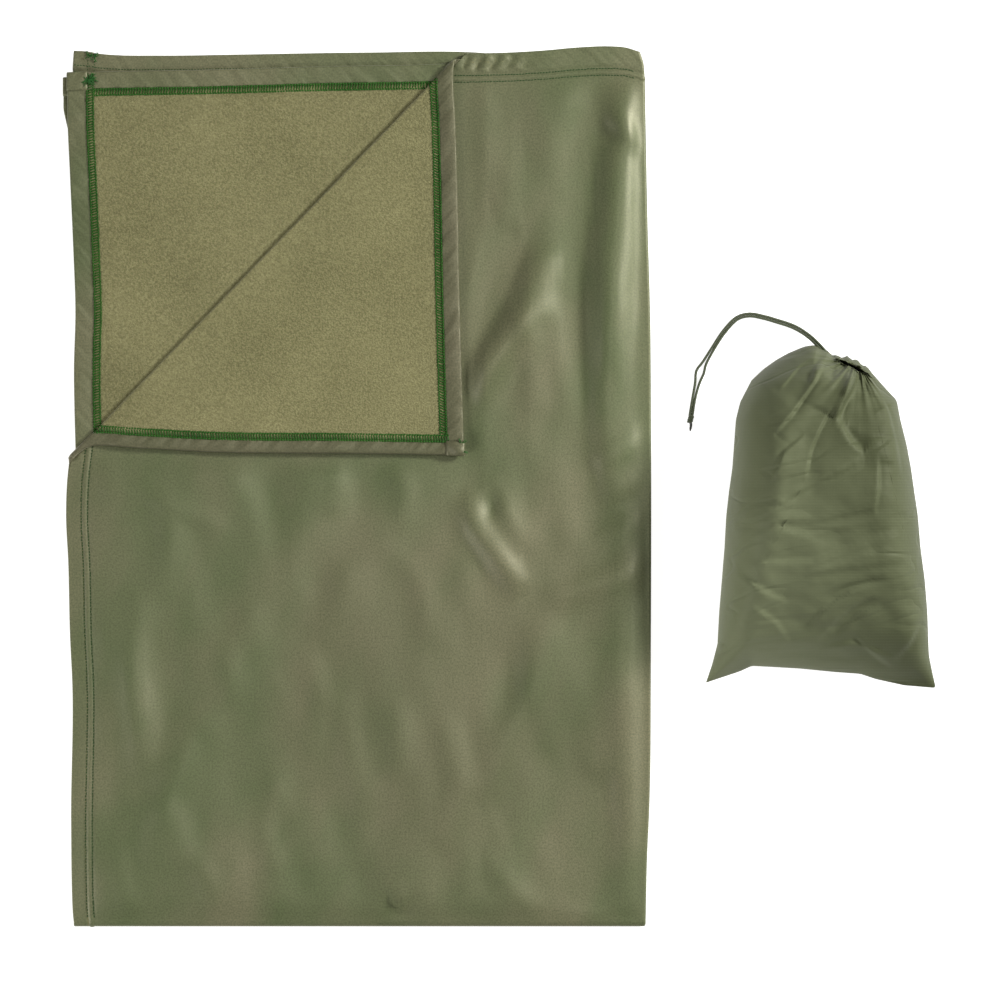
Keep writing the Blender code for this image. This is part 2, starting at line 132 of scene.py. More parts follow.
def soft_noise(x, y, size_x, size_y, seed):
    """Smooth random numbers from -1 to 1, on patches of the given size."""
    lattice = np.random.default_rng(seed).uniform(-1, 1, (128, 128))
    u, v = np.asarray(x) / size_x + 40.0, np.asarray(y) / size_y + 40.0
    i, j = np.floor(u).astype(int), np.floor(v).astype(int)
    s, t = u - i, v - j
    s, t = s * s * (3 - 2 * s), t * t * (3 - 2 * t)
    at = lambda p, q: lattice[p % 128, q % 128]
    low = at(i, j) * (1 - s) + at(i + 1, j) * s
    high = at(i, j + 1) * (1 - s) + at(i + 1, j + 1) * s
    return low * (1 - t) + high * t


def beside_line(x, y, points):
    """For places beside a line through points in millimetres: distance from it, and distance with a
    minus sign on its right, and how much of the line's height is left there, less towards its ends."""
    corners = np.array(points, float) * MM
    lengths = np.linalg.norm(np.diff(corners, axis=0), axis=1)
    nearest, signed, share = np.full(np.shape(x), 1e9), np.zeros(np.shape(x)), np.zeros(np.shape(x))
    for k, length in enumerate(lengths):
        run = (corners[k + 1] - corners[k]) / length
        t = np.clip((x - corners[k, 0]) * run[0] + (y - corners[k, 1]) * run[1], 0, length)
        gap_x, gap_y = x - corners[k, 0] - run[0] * t, y - corners[k, 1] - run[1] * t
        away = np.hypot(gap_x, gap_y)
        closer = away < nearest
        signed = np.where(closer, np.sign(run[0] * gap_y - run[1] * gap_x) * away, signed)
        share = np.where(closer, (lengths[:k].sum() + t) / lengths.sum(), share)
        nearest = np.minimum(nearest, away)
    return nearest, signed, np.clip(4 * share * (1 - share), 0, 1) ** 0.6


def ridge(x, y, points, width, sharpness=2.0):
    """1 along a line through points given in millimetres, falling to 0 at its sides and ends."""
    nearest, _, ends = beside_line(x, y, points)
    return ends * np.exp(-(nearest / width) ** sharpness)


def crease(x, y, points, fade):
    """A step across a line in millimetres: up to 1/2 on its left, -1/2 on its right, fading away."""
    nearest, signed, ends = beside_line(x, y, points)
    return ends * 0.5 * np.tanh(signed / (1.9 * MM)) * np.exp(-nearest / (fade * MM))


def evenly(start, stop, step):
    """Numbers from start to stop, about a step apart."""
    return list(np.linspace(start, stop, max(int(round(abs(stop - start) / step)), 1) + 1))


def joined(*parts):
    """One rising list of the parts' numbers, without near repeats."""
    values = sorted(v for part in parts for v in part)
    kept = [values[0]]
    for value in values[1:]:
        if value - kept[-1] > 0.15 * MM:
            kept.append(value)
    return kept


def add_object(name, bm_or_mesh):
    """Links a new object at the origin; a bmesh is made a mesh and freed."""
    if isinstance(bm_or_mesh, bmesh.types.BMesh):
        mesh = bpy.data.meshes.new(name)
        bm_or_mesh.to_mesh(mesh)
        bm_or_mesh.free()
    else:
        mesh = bm_or_mesh
        mesh.name = name
    piece = bpy.data.objects.new(name, mesh)
    bpy.context.scene.collection.objects.link(piece)
    return piece


def places_of(mesh):
    """A mesh's vertices as rows of three numbers."""
    found = np.zeros(len(mesh.vertices) * 3)
    mesh.vertices.foreach_get("co", found)
    return found.reshape(-1, 3)


def put(mesh, places):
    """Moves a mesh's vertices."""
    mesh.vertices.foreach_set("co", np.asarray(places, np.float32).ravel())
    mesh.update()


def keep_flat_place(mesh, across, along):
    """Stores the flat place of each vertex, for weaves that follow the cloth."""
    layer = mesh.attributes.new("flat", "FLOAT_VECTOR", "POINT")
    values = np.stack((across, along, np.zeros(len(across))), axis=1)
    layer.data.foreach_set("vector", values.astype(np.float32).ravel())


def thicken(piece, thickness):
    """Gives an open sheet its thickness, away from its outer face."""
    wall = piece.modifiers.new("thickness", "SOLIDIFY")
    wall.thickness = thickness
    wall.offset = -1
    wall.use_even_offset = False


def smooth_faces(piece):
    """Shades every face smooth."""
    piece.data.polygons.foreach_set("use_smooth", [True] * len(piece.data.polygons))
    piece.data.update()


def face_outwards(piece, weld=0.0):
    """Turns every face outwards, after joining vertices that are closer than weld."""
    bm = bmesh.new()
    bm.from_mesh(piece.data)
    if weld:
        bmesh.ops.remove_doubles(bm, verts=bm.verts, dist=weld)
    bmesh.ops.recalc_face_normals(bm, faces=bm.faces)
    bm.to_mesh(piece.data)
    bm.free()


# ---------------------------------------------------------------- the shape of the folded blanket

RIGHT_FOLD = line_through([
    (-0.4995, 0.3250), (-0.4200, 0.3267), (-0.3700, 0.3290), (-0.1700, 0.3310), (0.0500, 0.3312),
    (0.2000, 0.3301), (0.3000, 0.3272), (0.4200, 0.3248), (0.4660, 0.3238), (0.4800, 0.3224),
    (0.4920, 0.3180)])
TOP_EDGES = (
    line_through([(-0.330, 0.4930), (0.100, 0.4932), (0.170, 0.4945), (0.210, 0.4968), (0.245, 0.5000),
                  (0.285, 0.5016), (0.307, 0.5004), (0.320, 0.4965), (0.3305, 0.4905)]),
    line_through([(-0.334, 0.4716), (-0.303, 0.4727), (-0.183, 0.4750), (-0.0405, 0.4790),
                  (0.104, 0.4824), (0.200, 0.4900), (0.285, 0.4990), (0.3305, 0.4905)]),
    line_through([(-0.3260, 0.4968), (-0.3108, 0.4958), (-0.3016, 0.4942), (-0.2880, 0.4927),
                  (-0.2287, 0.4915), (-0.1374, 0.4927), (0.0, 0.4949), (0.150, 0.4938), (0.200, 0.4880),
                  (0.3305, 0.4880)]),
    line_through([(-0.338, 0.4664), (0.150, 0.4700), (0.3305, 0.4800)]))
LEFT_EDGES = (
    line_through([(-0.4995, -0.3245), (-0.4850, -0.3262), (-0.4700, -0.3267), (-0.3786, -0.3279),
                  (-0.2190, -0.3267), (-0.1733, -0.3290), (-0.0821, -0.3313), (-0.0365, -0.3336),
                  (0.0091, -0.3322), (0.0380, -0.3290), (0.4950, -0.3290)]),
    line_through([(-0.4995, -0.3245), (-0.3000, -0.3225), (0.0547, -0.3232), (0.1004, -0.3244),
                  (0.1460, -0.3250), (0.2144, -0.3233), (0.2828, -0.3256), (0.3740, -0.3296),
                  (0.4425, -0.3324), (0.4750, -0.3326)]),
    line_through([(-0.4995, -0.3235), (0.3500, -0.3235), (0.4750, -0.3262), (0.4985, -0.3245)]),
    line_through([(-0.4995, -0.3245), (-0.4700, -0.3250), (0.3600, -0.3260), (0.4197, -0.3300),
                  (0.4425, -0.3350), (0.4540, -0.3372), (0.4664, -0.3374)]))

# Soft ridges and hollows of the top layer: height in millimetres, width in millimetres, points.
TOP_FOLDS = (
    (4.2, 21, ((300, 478), (298, 440), (294, 385), (287, 260), (280, 146), (276, 60), (280, -10))),
    (-2.6, 17, ((268, 470), (262, 400), (254, 311), (252, 157), (258, 55), (262, -59))),
    (2.2, 20, ((296, -40), (294, -140), (298, -260), (304, -400), (304, -487))),
    (-1.8, 12, ((240, 408), (268, 404), (296, 406))),
    (1.6, 8, ((287, 431), (303, 408), (317, 385))),
    (4.6, 17, ((210, 275), (193, 203), (153, 146), (124, 100))),
    (-3.4, 15, ((182, 294), (157, 243), (133, 190), (124, 150))),
    (3.4, 13, ((118, -5), (131, -42), (159, -82), (186, -118))),
    (1.6, 12, ((145, 8), (166, -28), (190, -70))),
    (-1.4, 9, ((152, -2), (150, -32))),
    (1.3, 9, ((262, 26), (296, 43), (326, 66))),
    (1.1, 8, ((269, -14), (296, -2), (326, 21))),
    (1.0, 8, ((271, -59), (302, -42), (327, -25))),
    (1.9, 12, ((216, -130), (262, -111), (324, -91))),
    (1.7, 16, ((205, -151), (199, -219), (165, -287), (136, -356))),
    (1.3, 14, ((182, 214), (199, 157), (205, 78))),
    (1.3, 13, ((222, 214), (228, 157), (245, 55))),
    (-2.4, 26, ((273, -323), (256, -401), (266, -480))),
    (2.4, 15, ((-249, -112), (-257, -173), (-254, -242), (-249, -332))),
    (2.2, 18, ((-184, -250), (-205, -316), (-229, -379), (-240, -434))),
    (1.5, 7, ((-297, -2), (-240, -4), (-194, -28), (-150, -50))),
    (1.5, 14, ((-240, -10), (-212, -48), (-229, -128))),
    (1.3, 14, ((-29, -230), (-12, -287), (5, -356), (-3, -436))),
    (1.2, 11, ((39, -242), (45, -287), (39, -333))),
    (1.4, 14, ((102, -265), (108, -344), (91, -413))),
    (1.1, 12, ((-69, -173), (-46, -242), (-58, -310))),
    (1.4, 14, ((-217, -356), (-200, -413), (-160, -468))),
    (1.1, 9, ((-274, -401), (-269, -458), (-257, -487))),
    (1.1, 12, ((-12, -82), (-23, -139), (-35, -185))),
    (1.2, 10, ((-35, 28), (-23, 3), (-29, -36))),
    (1.3, 10, ((39, 30), (51, -2), (45, -59))),
    (1.0, 13, ((-149, 28), (-126, -14), (-115, -82))),
    (-1.6, 6, ((28, -458), (38, -482), (45, -499))),
    (-1.6, 6, ((59, -460), (50, -482), (45, -499))),
    (1.5, 9, ((43, -455), (45, -485))),
    (0.9, 10, ((30, -60), (70, -110), (80, -180))),
    (0.9, 10, ((-120, -130), (-150, -190), (-148, -250))),
    (0.9, 12, ((140, -420), (170, -450), (205, -488))),
    (0.8, 9, ((-90, -330), (-110, -390), (-95, -440))),
)
# Slanting tucks in the top hem, beside the turned corner.
HEM_TUCKS = (
    (-2.2, 3.4, ((117, 477), (124, 493))), (-2.6, 3.6, ((128, 474), (141, 492))),
    (-2.3, 3.6, ((145, 475), (159, 492))), (-1.5, 3.8, ((164, 477), (177, 492))),
    (-1.0, 4.2, ((184, 478), (197, 493))), (1.4, 3.6, ((121, 475), (131, 491))),
    (1.6, 3.8, ((136, 475), (149, 492))), (1.2, 4.0, ((154, 476), (168, 492))),
    (0.8, 4.2, ((173, 478), (187, 493))),
)


class Relief:
    """Heights above the flat top layer, worked out once on a fine grid and then looked up."""
    STEP = 2.5 * MM

    def __init__(self):
        self.low = np.array((-0.345, -0.505))
        xs = np.arange(self.low[0], 0.345, self.STEP)
        ys = np.arange(self.low[1], 0.515, self.STEP)
        x, y = np.meshgrid(xs, ys, indexing="ij")
        height = 3.4 + 3.0 * soft_noise(x, y, 0.055, 0.110, 3) + 1.5 * soft_noise(x, y, 0.024, 0.055, 8)
        height += 0.22 * soft_noise(x + 0.4 * y, y, 0.011, 0.028, 5)
        for rise, width, points in TOP_FOLDS:
            height += 3.0 * rise * ridge(x, y, points, 1.15 * width * MM)
        height = np.where(height > 0, height, 0.15 * height)
        beyond = np.maximum(x - FLAP_TIP[0], FLAP_TIP[1] - y)
        clear = smooth_step(beyond, -0.002, 0.026)
        clear *= smooth_step(x, -0.333, -0.285) * smooth_step(0.331 - x, 0.002, 0.030)
        clear *= smooth_step(y, -0.498, -0.470) * (0.25 + 0.75 * smooth_step(0.500 - y, 0.030, 0.060))
        height *= clear
        for rise, width, points in HEM_TUCKS:
            height += rise * ridge(x, y, points, width * MM)
        self.height = height * MM

    def __call__(self, x, y):
        u = np.clip((x - self.low[0]) / self.STEP, 0, self.height.shape[0] - 1.001)
        v = np.clip((y - self.low[1]) / self.STEP, 0, self.height.shape[1] - 1.001)
        i, j = u.astype(int), v.astype(int)
        s, t = u - i, v - j
        h = self.height
        return (h[i, j] * (1 - s) * (1 - t) + h[i + 1, j] * s * (1 - t)
                + h[i, j + 1] * (1 - s) * t + h[i + 1, j + 1] * s * t)


RELIEF = Relief()


def by_layer(curves, across, along, value):
    """Reads four edge curves, one for each quarter of the cloth, easing between them at the folds."""
    right = smooth_step(across, -0.04, 0.04)
    upper = smooth_step(along, -0.04, 0.04)
    top, second, third, bottom = (curve(value) for curve in curves)
    raised = right * top + (1 - right) * second
    return upper * raised + (1 - upper) * (right * bottom + (1 - right) * third)


def blanket_middle(across, along):
    """Where a flat place lies on the folded blanket, in the middle of the cloth's thickness.

    Across is 0 at the lengthwise fold and along is 0 at the crosswise one. The top layer has both
    above 0, the second a negative across, the third both negative, and the lowest a negative along.
    """
    radius = PLY / 2
    turn = np.clip(across / radius, -PI / 2, PI / 2)
    run = np.maximum(np.abs(across) - PI * radius / 2, 0) / (HALF_WIDTH - PI * radius / 2)
    level = 2 * radius + radius * np.sin(turn)
    bend = np.clip(along / level, -PI / 2, PI / 2)
    rise = np.maximum(np.abs(along) - PI * level / 2, 0) / (HALF_LENGTH - PI * level / 2)
    centre_y = BOTTOM_EDGE + HALF_CLOTH + 3 * radius
    rough_y = centre_y + rise * (0.4900 - centre_y)
    fold_x = RIGHT_FOLD(rough_y) - HALF_CLOTH - radius
    x = fold_x + radius * np.cos(turn) + run * (by_layer(LEFT_EDGES, across, along, rough_y) - fold_x)
    y = centre_y - level * np.cos(bend) + rise * (by_layer(TOP_EDGES, across, along, x) - centre_y)
    z = STACK_MIDDLE + level * np.sin(bend)
    on_top = (across > 0) & (along > 0)
    z = z + np.where(on_top, RELIEF(x, y), 0)
    return np.stack((x, y, z), axis=-1)


FLAP_RIGHT_EDGE = line_through([
    (0.0365, 0.1190), (0.0900, 0.1172), (0.2144, 0.1135), (0.3341, 0.1112), (0.4128, 0.1089),
    (0.4721, 0.1068), (0.4920, 0.1085)])
FLAP_BOTTOM_EDGE = line_through([
    (-0.3300, 0.0330), (-0.3244, 0.0345), (-0.3121, 0.0440), (-0.3020, 0.0473), (-0.2857, 0.0477),
    (-0.2617, 0.0456), (-0.2309, 0.0438), (-0.1830, 0.0411), (0.0, 0.0385), (0.1190, 0.0365)])


def flap_plan(across, along):
    """Where a flat place on the turned corner lies in plan, if the crease were not rolled."""
    y = FLAP_TIP[1] + along
    x = FLAP_TIP[0] - across
    wide = np.clip(1 - across / FLAP_WIDTH, 0, 1)
    high = np.clip(1 - along / FLAP_HEIGHT, 0, 1)
    return np.stack((x + wide * (FLAP_RIGHT_EDGE(y) - FLAP_TIP[0]),
                     y + high * (FLAP_BOTTOM_EDGE(x) - FLAP_TIP[1])), axis=-1)


def flap_middle(across, along):
    """Where a flat place on the turned corner lies: on top, round the crease's roll, or under it."""
    plan = flap_plan(across, along)
    inward = (plan - CREASE_LEFT) @ INTO_FLAP
    turn = np.clip(inward / ROLL, -PI / 2, PI / 2)
    run = np.maximum(np.abs(inward) - PI * ROLL / 2, 0) - ROLL * np.cos(turn)
    plan = plan + INTO_FLAP * (run - inward)[..., None]
    z = ROLL_AXIS_Z + ROLL * np.sin(turn)
    x, y = plan[..., 0], plan[..., 1]
    lift = 0.45 + 0.30 * soft_noise(x, y, 0.07, 0.07, 21) + 0.15 * soft_noise(x, y, 0.025, 0.03, 22)
    lift += 2.4 * smooth_step(along, 0.034, 0.004) * (1 + 0.35 * soft_noise(x, y, 0.05, 0.05, 23))
    lift += 1.0 * smooth_step(across, 0.030, 0.0)
    lift *= smooth_step(inward, 0.004, 0.035)
    return np.stack((x, y, z + lift * MM), axis=-1)


def faces_along(middle, across, along, sign):
    """The cloth's direction towards its shell side at flat places."""
    step = 0.25 * MM
    by_across = middle(across + step, along) - middle(across - step, along)
    by_along = middle(across, along + step) - middle(across, along - step)
    normal = sign * np.cross(by_across, by_along)
    return normal / np.maximum(np.linalg.norm(normal, axis=-1, keepdims=True), 1e-12)


class Cloth:
    """One cloth: its folding function, which way its shell faces, and its hems."""

    def __init__(self, middle, sign, edges, hems):
        self.middle = middle
        self.sign = sign
        self.edges = edges
        self.hems = hems

    def lay(self, across, along, off):
        """Points of the cloth at a height off its middle, positive on the shell side."""
        across, along, off = (np.asarray(v, float) for v in (across, along, off))
        normal = faces_along(self.middle, across, along, self.sign)
        return self.middle(across, along) + normal * off[..., None]

    def round_edge(self, value, axis):
        """Turns a flat place past the edge back round it: place, side (1 shell, -1 turned), depth."""
        edge = self.edges[axis]
        way = np.where(value < 0, -1.0, 1.0) if edge > 0 else -np.ones(np.shape(value))
        out = way * value - max(edge, 0)
        angle = np.clip(out / RIM, 0, PI)
        back = np.maximum(out - PI * RIM, 0)
        place = max(edge, 0) + np.minimum(out, 0) + RIM * np.sin(angle) - back
        return way * place, np.cos(angle), np.where(out > 0, -back, -out)


BLANKET = Cloth(blanket_middle, -1, (HALF_WIDTH, HALF_LENGTH), (SIDE_HEM, END_HEM))
FLAP = Cloth(flap_middle, 1, (0.0, 0.0), (FLAP_SIDE_HEM, FLAP_END_HEM))

SIDE_NEEDLES = (16.0 * MM, 23.5 * MM)
END_NEEDLES = (24.0 * MM, 31.5 * MM)
THIRD_END_NEEDLES = (15.0 * MM, 22.5 * MM)
OVERLOCK_BAND = 7.4 * MM                      # width of the overlock
OVERLOCK_INSET = 0.8 * MM                     # how far it starts before the hem's raw edge


def shell_offset(cloth, across, along):
    """Folds the shell round its edges: flat places and heights of its outer face."""
    across_in, side_a, depth_a = cloth.round_edge(across, 0)
    along_in, side_b, depth_b = cloth.round_edge(along, 1)
    shell_face = (HALF_CLOTH - 1.2 * MM) / 2
    off = shell_face + RIM * np.minimum(side_a, side_b)
    off -= 0.5 * MM * (1 - side_a) * (1 - side_b) / 4
    if cloth is FLAP:
        bold, puff = 2.0, 0.75
    else:
        second = (across < 0) & (along > 0)
        bold, puff = np.where(second, 1.6, 1.0), np.where(second, 0.45, 0.28)
    for side, depth, hem, run, seed, way in ((side_a, depth_a, cloth.hems[0], along_in, 31, -1),
                                             (side_b, depth_b, cloth.hems[1], across_in, 32, 1)):
        inner = np.clip(-depth, 0, None)
        turned = np.clip(-side, 0, 1)
        pillow = 0.55 * np.exp(-inner / (3.5 * MM)) + puff * np.sin(PI * np.clip(inner / hem, 0, 1) ** 0.7)
        slant = run + 0.7 * inner * way
        pucker = 0.22 * soft_noise(slant, inner, 0.0065, 0.030, seed)
        pucker += 0.22 * soft_noise(slant, inner, 0.014, 0.040, seed + 5)
        off -= turned * bold * (pillow + pucker) * MM
    return across_in, along_in, off, (side_a, depth_a, side_b, depth_b)


def needle_grooves(depth, side, needles):
    """The two lines pulled down by the needles, and the tuck standing between them."""
    groove = sum(np.exp(-((depth - q) / (1.1 * MM)) ** 2) for q in needles)
    between = np.exp(-((depth - sum(needles) / 2) / (2.4 * MM)) ** 2)
    return np.clip(side, 0, 1) * (0.95 * between - 0.55 * groove) * MM


def flat_grid(across, along):
    """A grid of cloth with vertices on the given flat lines, and its two flat-place layers."""
    bm = bmesh.new()
    bmesh.ops.create_grid(bm, x_segments=len(across) - 1, y_segments=len(along) - 1, size=1)
    keep = (bm.verts.layers.float.new("across"), bm.verts.layers.float.new("along"))
    for vert in bm.verts:
        vert[keep[0]] = across[round((vert.co.x + 1) / 2 * (len(across) - 1))]
        vert[keep[1]] = along[round((vert.co.y + 1) / 2 * (len(along) - 1))]
    return bm, keep


def cut_along_crease(bm, keep, plan_of, from_crease, only=None):
    """Cuts the sheet in plan, parallel to the crease, and drops what is past it."""
    flat = np.array([(v[keep[0]], v[keep[1]]) for v in bm.verts])
    plan = plan_of(flat[:, 0], flat[:, 1])
    for vert, place in zip(bm.verts, plan):
        vert.co = (place[0], place[1], 0)
    faces = [f for f in bm.faces if only is None or only(f, keep)]
    touched = set(faces)
    for face in faces:
        touched.update(face.edges)
        touched.update(face.verts)
    point = CREASE_LEFT + INTO_FLAP * from_crease
    bmesh.ops.bisect_plane(bm, geom=list(touched), dist=1e-7, plane_co=(*point, 0),
                           plane_no=(*-INTO_FLAP, 0), clear_outer=True)


def in_top_layer(face, keep):
    """Whether a face belongs to the blanket's top layer, turned hems included."""
    return all(v[keep[0]] > 0.02 and v[keep[1]] > 0.02 for v in face.verts)


def hem_share(cloth, flat):
    """1 where a flat place is on a hem's turned side, less on its outer side, 0 elsewhere."""
    sides = [cloth.round_edge(flat[:, k], k)[1] for k in (0, 1)]
    depth = cloth.round_edge(flat[:, 1], 1)[2]
    outer = 0.55 * smooth_step(-np.abs(depth), -cloth.hems[1] - 3 * MM, -cloth.hems[1] + 3 * MM)
    return np.maximum(np.clip(-np.minimum(*sides), 0, 1), outer)


def sheet_object(name, bm, keep, cloth, shape):
    """Makes the cut sheet an object, laid by shape(across, along)."""
    flat = np.array([(v[keep[0]], v[keep[1]]) for v in bm.verts])
    piece = add_object(name, bm)
    put(piece.data, shape(flat[:, 0], flat[:, 1]))
    keep_flat_place(piece.data, flat[:, 0], flat[:, 1])
    turned = piece.data.attributes.new("hem", "FLOAT", "POINT")
    turned.data.foreach_set("value", hem_share(cloth, flat).astype(np.float32))
    smooth_faces(piece)
    return piece


# ---------------------------------------------------------------- finishes

RIPSTOP_PITCH = 3.3 * MM
BRAID_PITCH = 1.6 * MM
TWILL_PITCH = 1.3 * MM


class Wire:
    """A node's output, so that sums on it read as sums."""

    def __init__(self, tree, socket=None):
        self.tree = tree
        self.socket = socket

    def node(self, kind, settings=None, inputs=None, output=0):
        """Adds a node of a kind, sets it, fills its sockets and returns one output."""
        made = self.tree.nodes.new("ShaderNode" + kind)
        for name, value in (settings or {}).items():
            if name == "stops":
                made.color_ramp.elements.remove(made.color_ramp.elements[-1])
                for at, (place, grey) in enumerate(value):
                    stop = made.color_ramp.elements[0] if at == 0 else made.color_ramp.elements.new(place)
                    stop.position = place
                    stop.color = (grey, grey, grey, 1)
            else:
                setattr(made, name, value)
        for name, value in (inputs or {}).items():
            self.fill(made.inputs[name], value)
        return Wire(self.tree, made.outputs[output])

    def fill(self, socket, value):
        """Links a wire to a socket, or sets its value."""
        if isinstance(value, Wire):
            self.tree.links.new(value.socket, socket)
        else:
            socket.default_value = value

    def sum(self, operation, *values):
        """The result of a Math node."""
        return self.node("Math", {"operation": operation}, dict(enumerate(values)))

    def __add__(self, other):
        return self.sum("ADD", self, other)

    def __radd__(self, other):
        return self.sum("ADD", other, self)

    def __sub__(self, other):
        return self.sum("SUBTRACT", self, other)

    def __rsub__(self, other):
        return self.sum("SUBTRACT", other, self)

    def __mul__(self, other):
        return self.sum("MULTIPLY", self, other)

    def __rmul__(self, other):
        return self.sum("MULTIPLY", other, self)

    def __pow__(self, other):
        return self.sum("POWER", self, other)


def blended(start, share, low, high):
    """A colour between two, by a share from 0 to 1."""
    as_colour = lambda c: c if isinstance(c, Wire) else (*c, 1)
    return start.node("Mix", {"data_type": "RGBA", "clamp_factor": True},
                      {0: share, 6: as_colour(low), 7: as_colour(high)}, output=2)


def clouds(start, place, scale, detail=2.0, stretch=(1, 1, 1), turn=(0, 0, 0)):
    """Soft noise over a place, from 0 to 1."""
    turned = start.node("Mapping", None, {"Vector": place, "Rotation": turn})
    moved = start.node("Mapping", None, {"Vector": turned, "Scale": stretch})
    return start.node("TexNoise", None, {"Vector": moved, "Scale": scale, "Detail": detail}, output="Fac")


def contrast(start, value, low, high):
    """Stretches a value so that low becomes 0 and high becomes 1."""
    return start.node("MapRange", {"clamp": True}, {"Value": value, "From Min": low, "From Max": high})


def new_finish(name, constants):
    """A material, its first wire, its shader and its object-space place."""
    material = bpy.data.materials.new(name)
    material.use_nodes = True
    shader = material.node_tree.nodes["Principled BSDF"]
    for socket, value in constants.items():
        shader.inputs[socket].default_value = value
    start = Wire(material.node_tree)
    place = start.node("TexCoord", output="Object")
    return material, start, shader, place


def flat_place(start):
    """The place on the cloth before it was folded."""
    return start.node("Attribute", {"attribute_name": "flat"}, output="Vector")


def stripes(start, place, pitch, turn):
    """Fine ribs across a place, from 0 to 1."""
    moved = start.node("Mapping", None, {"Vector": place, "Rotation": (0, 0, turn)})
    return start.node("TexWave", {"wave_type": "BANDS", "bands_direction": "X", "wave_profile": "SIN"},
                      {"Vector": moved, "Scale": PI / (10 * pitch)}, output="Fac")


def bump(start, height, strength, distance):
    """A normal raised by a height."""
    return start.node("Bump", None, {"Strength": strength, "Distance": distance, "Height": height})


def shell_finish(name, green, khaki, dark):
    """Satin shell cloth: a fine twill, green and khaki by turns, a little shiny; its khaki patches are
    partly painted sheen and its dark patches are painted shade.
    """
    material, start, shader, place = new_finish(name, {
        "Sheen Weight": 0.16, "Sheen Roughness": 0.35, "Sheen Tint": (0.80, 0.76, 0.54, 1),
        "Specular IOR Level": 0.55, "Specular Tint": (0.95, 0.90, 0.66, 1)})
    cloth = flat_place(start)
    # Green and khaki patches: partly the cloth's own tone, partly painted sheen.
    patches = contrast(start, clouds(start, place, 7.0, 4.0, (1.0, 0.55, 1), (0, 0, 0.35)), 0.40, 0.62)
    mottle = contrast(start, clouds(start, place, 17.0, 2.0, (1.0, 0.6, 1)), 0.30, 0.75)
    colour = blended(start, 0.72 * patches + 0.28 * mottle, green, khaki)
    # Painted shade: large random patches darkened towards the dark colour.
    depth = contrast(start, clouds(start, place, 3.2, 2.0, (1, 0.6, 1)), 0.52, 0.74)
    colour = blended(start, 0.38 * depth, colour, dark)
    twill = stripes(start, cloth, TWILL_PITCH, 0.95)
    grain = start.node("TexNoise", None, {"Vector": cloth, "Scale": 480.0, "Detail": 2.0}, output="Fac")
    threads = 0.16 * twill + 0.44 * contrast(start, grain, 0.35, 0.7)
    colour = blended(start, threads, colour, (0.02, 0.026, 0.012))
    start.fill(shader.inputs["Base Color"], colour)
    start.fill(shader.inputs["Roughness"], 0.40 + 0.10 * mottle + 0.04 * grain)
    weave = 0.55 * twill + 0.45 * grain
    wrinkles = clouds(start, place, 60.0, 3.0, (1, 0.5, 1))
    hem = start.node("Attribute", {"attribute_name": "hem"}, output="Fac")
    puckers = clouds(start, cloth, 78.0, 1.0, (1, 0.22, 1), (0, 0, 0.75))
    normal = bump(start, weave * 0.5 + wrinkles * 1.6 + hem * puckers * 20.0, 0.40, 0.5 * MM)
    start.fill(shader.inputs["Normal"], normal)
    return material


def fleece_finish(name, light, shade):
    """Short-pile fleece: tiny tufts that catch the light, matt and soft."""
    material, start, shader, place = new_finish(name, {
        "Sheen Weight": 0.35, "Sheen Roughness": 0.6, "Sheen Tint": (0.80, 0.78, 0.55, 1),
        "Specular IOR Level": 0.12})
    tufts = start.node("TexNoise", None, {"Vector": place, "Scale": 500.0, "Detail": 3.0,
                                          "Roughness": 0.6}, output="Fac")
    pile = contrast(start, tufts, 0.36, 0.66)
    nap = contrast(start, clouds(start, place, 9.0, 3.0), 0.35, 0.68)
    curls = start.node("TexVoronoi", {"feature": "F1"}, {"Vector": place, "Scale": 560.0},
                       output="Distance")
    colour = blended(start, 0.72 * pile + 0.28 * nap, shade, light)
    colour = blended(start, 0.35 * contrast(start, curls, 0.25, 0.75), colour, (0.10, 0.095, 0.030))
    start.fill(shader.inputs["Base Color"], colour)
    start.fill(shader.inputs["Roughness"], 0.90 + 0.08 * pile)
    normal = bump(start, pile + 0.6 * tufts - 0.5 * curls + 0.8 * nap, 0.55, 0.9 * MM)
    start.fill(shader.inputs["Normal"], normal)
    return material


def thread_finish(name, colour, light):
    """Spun polyester thread, twisted along its length."""
    material, start, shader, place = new_finish(name, {"Specular IOR Level": 0.12})
    strands = clouds(start, place, 900.0, 2.0)
    tone = clouds(start, place, 30.0, 1.0)
    mixed = blended(start, contrast(start, 0.7 * strands + 0.3 * tone, 0.35, 0.65), colour, light)
    start.fill(shader.inputs["Base Color"], mixed)
    start.fill(shader.inputs["Roughness"], 0.50 + 0.2 * strands)
    start.fill(shader.inputs["Normal"], bump(start, strands, 0.5, 0.2 * MM))
    return material


